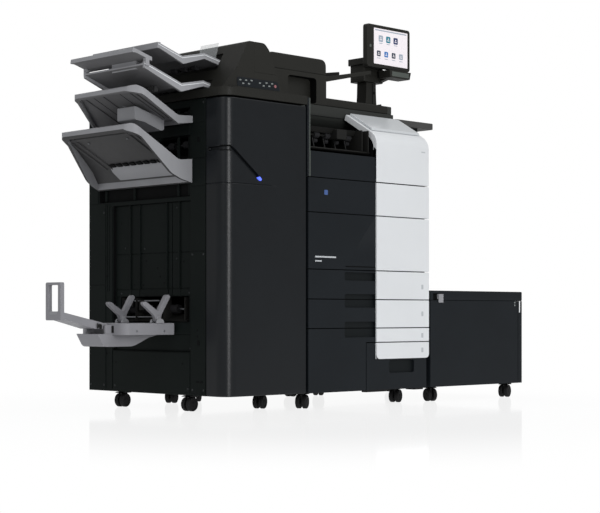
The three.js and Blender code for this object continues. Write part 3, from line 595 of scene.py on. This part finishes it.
# Finisher door: plan path round the left corner, with a slanted grip groove and a fading crease pressed in
door = dict(wrapEnd=88, corner=46, right=-4, thickness=20, low=52, high=967.6, grooveHalf=5.6, grooveDepth=9,
            creaseZ=705, creaseDepth=2.2, creaseHalf=1.3, lip=2.0)


def doorSurface():
    # a point is path(s) at height z, moved inwards by groove, crease and lip depths at (s, z)
    left, cornerR = wallX, door["corner"]
    ySide = np.linspace(door["wrapEnd"], cornerR, 26)
    t = np.linspace(0, 1, 42)[1:]
    xFront = np.linspace(left + cornerR, -110, 135)[1:]
    xRest = np.linspace(-110, door["right"] - 2, 14)[1:]
    path = np.concatenate([
        np.stack([np.full(26, left), ySide], 1),
        np.stack([left + cornerR * t**2, cornerR * (1 - t) ** 2], 1),
        np.stack([np.concatenate([xFront, xRest]), np.zeros(len(xFront) + len(xRest))], 1),
        [[door["right"], 2.0]]])
    tangent = np.gradient(path, axis=0)
    tangent /= np.linalg.norm(tangent, axis=1, keepdims=True)
    inward = np.stack([-tangent[:, 1], tangent[:, 0]], 1)
    inward[-1] = (0, 1)
    s = np.concatenate([[0], np.cumsum(np.linalg.norm(np.diff(path, axis=0), axis=1))])
    sFront = s[np.argmin(np.abs(path[:, 0] - (left + cornerR)) + path[:, 1])]
    z = np.concatenate([np.linspace(door["low"], 56, 4), np.linspace(70, 695, 14), np.linspace(700, 711, 20),
                        np.arange(713, 824, 1.5), np.linspace(830, 960, 8), np.linspace(963.6, door["high"], 4)])
    at = lambda x, height: (sFront + x - (left + cornerR), height)
    line = np.array([(12, 812), (sFront - 22, 812), at(-298, 793), at(-205, 722.5)])
    S, Z = np.meshgrid(s, z)
    distance = np.full(S.shape, 1e9)
    for (sa, za), (sb, zb) in zip(line[:-1], line[1:]):
        k = np.clip(((S - sa) * (sb - sa) + (Z - za) * (zb - za)) / ((sb - sa) ** 2 + (zb - za) ** 2), 0, 1)
        distance = np.minimum(distance, np.hypot(S - sa - k * (sb - sa), Z - za - k * (zb - za)))
    step = lambda v: np.clip(v, 0, 1) ** 2 * (3 - 2 * np.clip(v, 0, 1))
    depth = door["grooveDepth"] * step((door["grooveHalf"] + 0.7 - distance) / 1.6)
    fade = step((at(-120, 0)[0] - S) / 60)
    crease = step((door["creaseHalf"] + 0.4 - np.abs(Z - door["creaseZ"])) / 0.9)
    depth = np.maximum(depth, door["creaseDepth"] * fade * crease)
    ends = np.minimum(Z - door["low"], door["high"] - Z)
    depth += door["lip"] * (1 - np.sqrt(np.clip(1 - (1 - np.clip(ends / 4, 0, 1)) ** 2, 0, 1)))
    outer = path[None] + inward[None] * depth[..., None]
    inner = np.repeat((path + inward * door["thickness"])[None, ::-1], len(z), 0)
    inner[..., 0] = np.minimum(inner[..., 0], door["right"])
    ring = np.concatenate([outer, inner], 1)
    points = np.concatenate([ring, np.repeat(z[:, None, None], ring.shape[1], 1)], 2)
    n = ring.shape[1]
    caps = np.stack([np.arange(n), np.arange(n) + (len(z) - 1) * n])
    trail = np.interp(np.linspace(0, 1, 240), np.linspace(0, 1, 4), np.arange(4))
    k, f = np.minimum(trail.astype(int), 2), trail - np.minimum(trail.astype(int), 2)
    along = line[k] * (1 - f)[:, None] + line[k + 1] * f[:, None]
    spots = np.stack([np.interp(along[:, 0], s, path[:, 0]), np.interp(along[:, 0], s, path[:, 1]), along[:, 1]], 1)
    return (points.reshape(-1, 3), [gridQuads(len(z), n, wrap=True), caps]), spots


doorShape, groovePath = doorSurface()


def doorZones(c, n):
    # painted shade: black down in the grip groove; the darker wall colour, also painted shade, on the back
    near = np.full(len(c), 1e9)
    for part in np.array_split(groovePath, 12):
        near = np.minimum(near, np.linalg.norm(c[:, None] - part[None], axis=2).min(1))
    deep = (near < 8.5) & ((c[:, 1] > 2.5) | (c[:, 1] > door["corner"])) & (c[:, 0] > wallX + 2.2) & (c[:, 1] < 95)
    look = np.where(deep | ((near < 6.5) & (c[:, 1] > 5) & (c[:, 0] < wallX + 12)), 1, 0)
    look[(c[:, 1] > 19) & (c[:, 0] > -328)] = 2
    return look


addPiece("finisher_door_shell", [doorShape], ["doorSatin", "insideBlack", "charcoalShaded"], "finisher_door", angle=30,
         zones=doorZones, standsFor=["finisher_door"])
addPiece("finisher_door_lamp", [prism("y", [[-216, 727], [-206, 719.5], [-199, 717, 3], [-197, 724, 3], [-205, 731]],
                                      0.4, 6)], "ledBlue", "finisher_door", edge=0.4)
addPiece("finisher_door_inner_frame", [slab(-318, -20, 20, 26, z, z + 14) for z in (70, 380, 690, 940)]
         + [slab(x, x + 12, 20, 26, 70, 954) for x in (-318, -32)], "insideGrey", "finisher_door", edge=1)
print("finisher door done")


# Finisher body: wall panels with open seams, rails, exit hardware, rollers and fixings, the wall pieces in the darker
# wall charcoal that is painted shade
def finisherZones(c, n):
    # the darker wall charcoal outside as painted shade, black inside, except the recessed part of the wall
    look = np.zeros(len(c), int)
    look[inside(c, x=(-347, 0), y=(33, 640), z=(105, 960))] = 1
    look[inside(c, x=(-338.5, -336), y=(160, 556), z=(184, 662))] = 0
    return look


carryOver("finisher_cabinet", ["charcoalShaded", "insideBlack"], "frame", edge=1.2, zones=finisherZones)
recessX = wallX + 12
grooveYs = [166, 221, 262, 281, 426, 467, 547]
panels = []
for y0, y1 in zip(grooveYs[:-1], grooveYs[1:]):
    for z0, z1 in ((363, 383), (387, 498), (501, 657)):
        panels.append(slab(recessX - 2.4, recessX + 0.6, y0 + 1.6, y1 - 1.6, z0, z1))
panels += [slab(recessX - 2.4, recessX + 0.6, 168, 547, 190, 240),
           slab(recessX - 2.0, recessX + 0.6, 168, 547, 243, 279)]
addPiece("wall_panels", panels, "charcoalShaded", edge=0.8)
addPiece("wall_rails", [slab(recessX - 7, recessX + 1, y, y + 4, 385, 668, 1) for y in (223, 285, 420, 469)]
         + [slab(wallX - 1.6, wallX + 3, 571, 576, 380, 668, 1), slab(wallX - 1.6, wallX + 3, 583, 588, 380, 668, 1)],
         "charcoalShaded", edge=0.8)
skins = [slab(wallX - 1.8, wallX + 0.4, a, b, z0, z1, 2, "x") for a, b, z0, z1 in (
    (92, 161, 60, 498), (92, 161, 501, 700), (92, 161, 703, 786), (92, 161, 789, 862), (92, 161, 898, 966),
    (556, 568, 60, 655), (592, 680, 60, 400), (592, 680, 403, 668), (632, 680, 671, 966), (165, 551, 60, 184))]
addPiece("wall_skins", skins, "charcoalShaded", edge=0.9)
addPiece("wall_crossbar", [slab(wallX - 1.5, wallX + 18, 164, 353, 862, 896, 5, "x")], "charcoalShaded", edge=1.4)
addPiece("wall_crossbar_bracket", [prism("x", [[300, 863], [353, 863], [353, 846, 4], [338, 840]],
                                         wallX + 1, wallX + 12)], "charcoalShaded", edge=0.8)
holes = [(586, 430), (588, 176), (128, 236), (128, 255), (336, 452), (322, 424), (392, 476), (302, 404), (452, 400),
         (408, 398), (206, 470), (520, 600), (200, 150), (536, 148)]
# black discs: painted shade for the holes in the wall
addPiece("wall_holes", [rod("x", (recessX - 2.2 if 163 < y < 552 and z > 187 else wallX - 1.9, y, z), 3.0, 1.4, 14, 0.2)
                        for y, z in holes], "insideBlack")
# black strips: painted shade for the wall's slots
addPiece("wall_slots", [slab(wallX - 2.6, wallX - 1, y, y + 12, 92, 98, 2, "x") for y in (104, 122)]
         + [slab(wallX - 2.6, wallX - 1, 118, 128, z, z + 16, 2, "x") for z in (208, 836)], "insideBlack")
addPiece("wall_screws", screws("x", -1, 3.6, [(wallX - 1.8, y, z) for y, z in (
    (100, 70), (152, 70), (600, 72), (672, 72), (100, 490), (152, 490), (174, 72), (542, 72), (672, 940), (600, 640),
    (152, 906), (100, 958))]) + screws("x", -1, 3.0, [(recessX - 2.4, y, z) for y, z in (
        (176, 198), (538, 198), (240, 480), (400, 515), (500, 520), (240, 640), (520, 372), (180, 372))]), "screwDark")
slots = dict(bookletX=wallX + 46, bookletZ=321, pressZ=292, exitX=wallX + 30, exitZ=(836, 935), rollers=5)
addPiece("booklet_rollers", [rod("y", (slots["bookletX"], y, slots["bookletZ"]), 15, 34, 28, 2)
                             for y in np.linspace(215, 495, slots["rollers"])], "rollerRubber")
addPiece("booklet_shafts", [rod("y", (slots["bookletX"], 354, z), 4, 330) for z in (slots["bookletZ"], slots["pressZ"])]
         + [rod("y", (wallX + 14, 420, 348), 2.5, 180), rod("y", (wallX + 12, 420, 296), 2, 190)], "zinc")
slotGuide = [[wallX + 4, 284], [wallX + 60, 306], [wallX + 60, 302], [wallX + 10, 281.5]]
addPiece("booklet_slot_frame", [prism("y", slotGuide, 190, 518)]
         + [slab(wallX + 6, wallX + 40, y, y + 3, 284, 358) for y in (196, 300, 440, 508)]
         + [slab(wallX + 8, wallX + 30, 460, 500, 330, 352, 3, "x"),
            slab(wallX + 10, wallX + 26, 404, 430, 318, 350, 4, "x")], "insideGrey", edge=0.6)
addPiece("exit_slot_shafts", [rod("y", (slots["exitX"], 348, z), 4, 336) for z in slots["exitZ"]], "screwDark")
exitY = np.linspace(210, 490, slots["rollers"])
addPiece("exit_slot_rollers", [rod("y", (slots["exitX"], y, slots["exitZ"][0]), 13, 26, 24, 2) for y in exitY]
         + [rod("y", (slots["exitX"], y, slots["exitZ"][1]), 8, 22, 20, 1.5) for y in exitY], "rollerRubber")
addPiece("tray_well_rails", [slab(wallX + 10, wallX + 17, y, y + 10, 675, 945, 2) for y in (176, 230, 450, 600)],
         "charcoalShaded", edge=0.8)
addPiece("tray_well_rack", [slab(wallX + 12, wallX + 17, 606, 612, z, z + 3) for z in np.arange(680, 940, 7)],
         "charcoalShaded", edge=0.3)
addPiece("finisher_back_panels", [slab(-340, -14, 682.4, 684.4, z0, z1, 5, "y") for z0, z1 in ((62, 470), (474, 960))],
         "charcoalShaded", edge=0.9)
addPiece("finisher_back_screws", screws("y", 1, 4, [(x, 684.4, z) for x in (-330, -177, -24)
                                                    for z in (72, 460, 484, 950)]), "screwDark")
print("finisher done")

# Sheet inserter: housing, cover, key panel, trays, guide and clear flap
carryOver("inserter_housing", ["graphiteWarm", "insideBlack"], "frame", edge=0.8, held=True,
          zones=lambda c, n: (inside(c, x=(-312, -263), y=(97, 423), z=(1063, 1117)) |
                              inside(c, x=(-346, -312), y=(97, 403), z=(995, 1031))) * 1)
carryOver("inserter_cover", "graphiteWarm", edge=1.2, held=True)
addPiece("key_panel", [prism("y", [[-301, 1003, 4], [-121, 1003, 4], [-130, 1031, 5], [-301, 1031, 5]], -1.6, 1)],
         "charcoalFront", edge=0.6)
keys = [(-290, 1022), (-278, 1012), (-266, 1023), (-254, 1013), (-243, 1024), (-208, 1020), (-192, 1013), (-180, 1023),
        (-168, 1014), (-156, 1023)]
addPiece("panel_keys", [slab(x - 4.2, x + 4.2, -2.8, -1.2, z - 2.2, z + 2.2, 1.6, "y") for x, z in keys], "keyGrey",
         edge=0.4)
addPiece("panel_stop_key", [rod("y", (-142, -2.0, 1016), 5, 1.8, 24, 0.5)], "keyRed")
addPiece("inserter_flap", [prism("y", [[-292, 1096], [-290, 1096], [-276, 1150, 2], [-278, 1150]], 112, 196)],
         "clearFlap", edge=0.3)
upperLine = [(-530, 1121), (-435, 1090), (-346, 1109), (-264, 1091)]
lowerLine = [(-582, 1058), (-438, 1007), (-351, 1024), (-313, 1016)]


def trayShadeZones(c, n):
    # painted shade: darker underneath
    return np.where(n[:, 2] < -0.25, 1, 0)


# painted shade: the inserter trays' undersides take the darker grey
carryOver("inserter_tray_upper", ["trayGrey", "trayHalfShadeGrey"], "frame", edge=0.9, held=True, zones=trayShadeZones)
carryOver("inserter_tray_lower", ["trayGrey", "trayHalfShadeGrey"], "frame", edge=0.9, held=True, zones=trayShadeZones)
carryOver("inserter_guide", "insideGrey", edge=0.8)


def railTrim(line, y, lift, thick):
    # a thin bead that follows the rail's line
    top = [[x, z + lift] for x, z in line]
    return prism("y", top + [[x, z - thick] for x, z in top[::-1]], y, y + 2.4)


addPiece("inserter_rail_beads", [railTrim(upperLine, 98.4, -5, 2.4), railTrim(lowerLine, 98.4, -6, 2.6)], "stripeWhite",
         edge=0.5)
# black strips: painted shade for the slots in the tray floor
slotEnds = [(x, np.interp(x, [-435, -346], [1090, 1109])) for x in (-425, -381)]
floorSlots = [prism("y", [[x, z - 6.6] for x, z in slotEnds] + [[x, z - 5.6] for x, z in slotEnds[::-1]], y, y + 8)
              for y in (180, 240, 300, 350)]
addPiece("inserter_floor_slots", floorSlots, "insideBlack")
# a comb under the tray in the painted-shade grey
comb = [prism("x", [[y, 1008], [y + 5, 1008], [y + 3.5, 988], [y + 1.5, 988]], -470, -455)
        for y in np.arange(190, 262, 10)]
addPiece("inserter_comb", comb, "trayShadeGrey", edge=0.4)
addPiece("inserter_feed_rollers", [rod("y", (-288, y, 1084), 11, 24, 24, 2) for y in (210, 260, 310)]
         + [rod("y", (-324, y, 1012), 8, 22, 20, 1.5) for y in (210, 260, 310)], "rollerRubber")
print("inserter done")

# Exit trays: light rims, undersides darkened with painted shade, ribs, slots and fixings


def upperTrayShadeZones(c, n):
    # painted shade: darker underneath, but for a pale stretch behind the front edge
    outside = (c[:, 1] > 309) | (c[:, 1] < 221) | (c[:, 2] > 944) | (c[:, 0] > -404)
    return np.where((n[:, 2] < -0.25) & outside, 1, 0)


carryOver("exit_tray_upper", ["trayGrey", "trayHalfShadeGrey"], "frame", edge=1.4, angle=36, held=True,
          cuts=[("y", 221), ("y", 309)], zones=upperTrayShadeZones)
carryOver("exit_tray_lower", ["trayGrey", "trayShadeGrey"], edge=1.4, angle=36, held=True, farthest=wallX - 4,
          zones=trayShadeZones)


def underRib(line, drop, y, wide, high):
    # a bar that follows the underside's line, drop below it
    top = [[x, z - drop] for x, z in line]
    return prism("y", top + [[x, z - high] for x, z in top[::-1]], y, y + wide)


lowerUnder = [(-572, 859), (-470, 805.5), (-412, 775)]
upperUnder = [(-560, 979), (-420, 912)]
# ribs under the lower tray in the painted-shade grey
addPiece("exit_tray_lower_ribs", [underRib(lowerUnder, -1, y, w, 7)
                                  for y, w in ((176, 10), (200, 4), (470, 4), (500, 10))]
         + [underRib([(-566, 856), (-556, 851)], -1, 190, 310, 5)], "trayShadeGrey", "exit_tray_lower", edge=0.8)
addPiece("exit_tray_lower_plate", [prism("y", [[-418, 777], [-404, 769], [-372, 742], [-376, 738], [-408, 762]],
                                         190, 480)], "trayGrey", "exit_tray_lower", edge=0.8)
# black strips: painted shade for the slots in the tray
addPiece("exit_tray_lower_slots", [prism("y", [[-436, 784], [-424, 777], [-426, 774], [-438, 781]], y, y + 22)
                                   for y in np.arange(200, 470, 34)], "insideBlack", "exit_tray_lower")
# ribs under the upper tray in the painted-shade grey
addPiece("exit_tray_upper_ribs", [underRib(upperUnder, -1, y, 4, 4) for y in (180, 200, 330, 420)], "trayShadeGrey",
         edge=0.6)
addPiece("exit_tray_bolts", screws("z", -1, 4, [(-560, 200, 851), (-560, 470, 851), (-540, 235, 840),
                                                (-540, 430, 840)]), "zinc", "exit_tray_lower")
addPiece("exit_tray_upper_seams", [underRib(upperUnder, 0.6, y, 1.2, 1.0) for y in (250, 380)], "insideBlack")
topLines = [(-584, 876.4), (-470, 815), (-410, 781.8)]
addPiece("exit_tray_lower_runners", [underRib(topLines, -1.0, y, 5, 3) for y in np.linspace(190, 450, 6)], "trayGrey",
         "exit_tray_lower", edge=0.8)
upperTop = [(-572, 993.6), (-413, 917.5)]
addPiece("exit_tray_upper_runners", [underRib(upperTop, -1.2, y, 5, 3) for y in np.linspace(190, 420, 6)], "trayGrey",
         edge=0.8)
print("exit trays done")

# Booklet tray with its folding stop and the two pressing arms
deck = dict(top=277, pivotX=-410, pivotZ=291, arms=(252, 428))
# painted shade: the deck's low downward faces take the darker grey
carryOver("booklet_tray", ["bookletGrey", "trayShadeGrey"], "frame", edge=1.6, angle=36,
          zones=lambda c, n: np.where((n[:, 2] < -0.9) & (c[:, 2] < 242), 1, 0))
carryOver("booklet_stopper", "bookletGrey", edge=1.2, held=True)
for node, y in zip(("booklet_arm_front", "booklet_arm_rear"), deck["arms"]):
    carryOver(node, "bookletGrey", edge=0.9, held=True)
    addPiece(node + "_hubs", [rod("y", (deck["pivotX"], y + a, deck["pivotZ"]), 8, 5, 28, 1) for a in (-9, 9)]
             + [lathe("y", (deck["pivotX"], y, deck["pivotZ"]), [(0, -12.6), (3, -12.6), (3.4, -11), (0, -11)], 16)],
             "trayGrey", node)
    addPiece(node + "_rib", [prism("y", [[-400, 313], [-373, 351], [-376, 353], [-404, 317]], y - 8, y + 8)],
             "bookletGrey", node, edge=0.5)
    addPiece(node + "_yoke", [prism("y", [[-426, 277.4], [-394, 277.4], [-398, 288, 4], [-410, 292, 4], [-422, 288, 4]],
                                    y + a - 2, y + a + 2) for a in (-15, 15)], "trayGrey", edge=0.6)
addPiece("booklet_deck_bracket", [slab(-549.5, -546, 292, 310, 247, 269, 2, "x")], "insideGrey", edge=0.5)
addPiece("booklet_deck_lines", [slab(-500, -372, y, y + 1.6, deck["top"] - 0.6, deck["top"] + 0.4) for y in (276, 434)],
         "trayShadeGrey")
addPiece("booklet_deck_screws", screws("y", -1, 3, [(x, 239.9, 252) for x in (-500, -390)])
         + screws("y", -1, 2.4, [(-590, 312.9, z) for z in (262, 276)]), "zinc")
addPiece("stopper_bracket", [prism("y", [[-596, 262], [-578, 258], [-578, 273], [-596, 277]], 312, 313.6)],
         "insideGrey", "booklet_stopper", edge=0.4)
addPiece("stopper_pad", [slab(-730.6, -715.4, 337, 373, 303, 312, 3, "x")], "trayGrey", "booklet_stopper", edge=0.6)
print("booklet tray done")

# Large paper unit
unit = dict(right=1118, back=664)
carryOver("paper_unit_cabinet", ["charcoalFront", "insideGrey"], "frame", edge=0.7,
          zones=lambda c, n: inside(c, x=(615, 1105), y=(13, 651), z=(64, 360)) * 1)
carryOver("paper_unit_lid", ["charcoalFront", "insideBlack"], edge=0.7,
          zones=lambda c, n: inside(c, x=(615, 670), y=(0.5, 9), z=(350, 378)) * 1)
carryOver("paper_unit_latch", "trayGrey", edge=0.8)
nodes["paper_unit_lift_plate"].data.materials.clear()
nodes["paper_unit_lift_plate"].data.materials.append(finish("zinc"))
addPiece("unit_status_lamp", [slab(unit["right"] - 17, unit["right"] - 12, -0.9, 0.6, 311, 352.6, 2, "y")], "lampWhite",
         edge=0.3)
addPiece("unit_status_mark", [slab(1072, 1078, -0.6, 0.5, z, z + 6, 1.5, "y") for z in (344, 334)], "keyGrey")
addPiece("unit_front_seam", [slab(1094, 1095.6, -0.4, 0.6, 60, 350)], "insideBlack")
addPiece("unit_side_guides", [slab(x, x + 4, 60, 600, 86, 340, 6, "x") for x in (616.3, 1099.7)], "insideGrey",
         edge=0.8)
# black bars: painted shade for the louvre openings
addPiece("unit_back_louvres", [slab(680 + i * 14, 688 + i * 14, unit["back"] - 1, unit["back"] + 0.8, 90, 150, 3, "y")
                               for i in range(20)], "insideBlack")
addPiece("unit_back_screws", screws("y", 1, 4, [(x, unit["back"], z) for x in (616, 860, 1104) for z in (66, 338)])
         + screws("x", 1, 4, [(unit["right"], y, z) for y in (30, 330, 640) for z in (70, 330)]), "screwDark")
print("paper unit done")

# Casters: hooded fork, two turned treads with recessed sides
wheel = dict(radius=22.5, web=8, tread=14)
places = sorted(n[:-6] for n in nodes if n.endswith("_wheel"))
for at in places:
    carryOver(at + "_caster", "casterBlack", edge=0.8)
    low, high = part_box(at + "_wheel")
    middle = ((np.array(low) + np.array(high)) / 2 - corner) * 1000
    joint = next(j for j in frame["joints"] if j["name"] == at + "_roll")
    axle = np.array(joint["axis"], float)
    across = np.array([-axle[1], axle[0], 0.0])
    r, inner, outer = wheel["radius"], wheel["web"] / 2, wheel["web"] / 2 + wheel["tread"]
    profile = np.array([(0, inner), (r - 1.5, inner), (r, inner + 1.5), (r, outer - 3), (r - 1.2, outer - 1),
                        (r - 3, outer), (r - 5, outer), (r - 6.5, outer - 1.6), (6.5, outer - 1.6), (5.5, outer - 0.4),
                        (0, outer - 0.4)])
    treads = [lathe("z", (0, 0, 0), [(a, side * b) for a, b in profile], 32) for side in (1, -1)]
    treads.append(lathe("z", (0, 0, 0), [(0, -inner - 1), (4, -inner - 1), (4, inner + 1), (0, inner + 1)], 16))
    treads = [(points @ np.array([across, (0, 0, 1), axle]) + middle, faces) for points, faces in treads]
    addPiece(at + "_treads", treads, "casterTread", at + "_wheel", angle=28, standsFor=[at + "_wheel"])
print("casters done")

# Floor, lights and camera
studio = dict(floorHalf=60, floorLevel=(240, 242, 244), gloss=0.12, shade=0.06, fadeFrom=0.8, fadeTo=1.95, bounce=0.6,
              fadeCentre=(-0.2, -0.4, 0), world=0.36, key=70, fill=35, top=66, strip=74, back=80)
floorMesh = bpy.data.meshes.new("studio_floor")
h = studio["floorHalf"]
floorMesh.from_pydata([(-h, -h, -0.0005), (h, -h, -0.0005), (h, h, -0.0005), (-h, h, -0.0005)], [], [(0, 1, 2, 3)])
floor = bpy.data.objects.new("studio_floor", floorMesh)
bpy.context.scene.collection.objects.link(floor)
floor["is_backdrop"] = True
# a bright sheet with a faint shade and reflection that fade to the backdrop's white with distance from the machine
paint = bpy.data.materials.new("floorSheet")
paint.use_nodes = True
tree = paint.node_tree
new, link = tree.nodes.new, tree.links.new
base = tree.nodes["Principled BSDF"]
base.inputs["Base Color"].default_value = linear(studio["floorLevel"])
base.inputs["Roughness"].default_value = 0.9
base.inputs["Specular IOR Level"].default_value = 0.0
glow, gloss = new("ShaderNodeEmission"), new("ShaderNodeBsdfGlossy")
shaded, mirrored = new("ShaderNodeMixShader"), new("ShaderNodeMixShader")
gloss.inputs["Roughness"].default_value = 0.07
gloss.inputs["Color"].default_value = (*[1 / studio["world"]] * 3, 1)
coords, reach, ray = (new("ShaderNode" + kind) for kind in ("TexCoord", "VectorMath", "LightPath"))
reach.operation = "DISTANCE"
reach.inputs[1].default_value = studio["fadeCentre"]
link(coords.outputs["Object"], reach.inputs[0])


def fade(source, first, last, near, beyond):
    # goes smoothly from near to beyond while source goes from first to last
    node = new("ShaderNodeMapRange")
    node.interpolation_type = "SMOOTHSTEP"
    for socket, value in (("From Min", first), ("From Max", last), ("To Min", near), ("To Max", beyond)):
        node.inputs[socket].default_value = value
    link(source, node.inputs["Value"])
    return node.outputs["Result"]


link(fade(ray.outputs["Is Camera Ray"], 0, 1, studio["bounce"], 1), glow.inputs["Strength"])
for mix, share in ((shaded, "shade"), (mirrored, "gloss")):
    link(fade(reach.outputs["Value"], studio["fadeFrom"], studio["fadeTo"], studio[share], 0), mix.inputs["Fac"])
link(glow.outputs["Emission"], shaded.inputs[1])
link(base.outputs["BSDF"], shaded.inputs[2])
link(shaded.outputs["Shader"], mirrored.inputs[1])
link(gloss.outputs["BSDF"], mirrored.inputs[2])
link(mirrored.outputs["Shader"], tree.nodes["Material Output"].inputs["Surface"])
floorMesh.materials.append(paint)

world = bpy.data.worlds.new("studio")
bpy.context.scene.world = world
world.use_nodes = True
wt = world.node_tree
sky = wt.nodes["Background"]
sky.inputs["Color"].default_value = (1, 1, 1, 1)
path = wt.nodes.new("ShaderNodeLightPath")
level = wt.nodes.new("ShaderNodeMapRange")
level.inputs["To Min"].default_value = studio["world"]
level.inputs["To Max"].default_value = 1.0
wt.links.new(path.outputs["Is Camera Ray"], level.inputs["Value"])
wt.links.new(level.outputs["Result"], sky.inputs["Strength"])


def softLight(name, power, place, target, size):
    # an area light at place, turned to target
    data = bpy.data.lights.new(name, "AREA")
    data.shape, data.size, data.size_y, data.energy = "RECTANGLE", size[0], size[1], power
    lamp = bpy.data.objects.new(name, data)
    bpy.context.scene.collection.objects.link(lamp)
    lamp.location = place
    lamp.rotation_euler = (Vector(target) - Vector(place)).to_track_quat("-Z", "Y").to_euler()


softLight("keyLight", studio["key"], (2.0, -4.5, 4.5), (0, 0, 0.6), (4, 3))
softLight("fillLight", studio["fill"], (-5.0, -1.5, 3.0), (-0.5, 0, 0.7), (3, 3))
softLight("topLight", studio["top"], (0, 0.5, 5.0), (0, 0, 0.5), (5, 4))
softLight("stripLight", studio["strip"], (-1.7, -4.7, 1.0), (-0.54, -0.34, 0.6), (1.5, 2.1))
softLight("backLight", studio["back"], (1.5, 5.5, 3.2), (0, 0.3, 0.6), (4, 3))

view = dict(place=(-3.6891, -3.8589, 0.305), turn=44.54, lens=93.3, up=0.096)
camData = bpy.data.cameras.new("camera")
camData.lens, camData.sensor_width, camData.shift_y = view["lens"], 36, view["up"]
camData.clip_end = 200
camera = bpy.data.objects.new("camera", camData)
camera.location = view["place"]
camera.rotation_euler = (math.pi / 2, 0, -math.radians(view["turn"]))
bpy.context.scene.collection.objects.link(camera)
bpy.context.scene.camera = camera
bpy.context.scene.view_settings.view_transform = "Standard"

low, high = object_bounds()
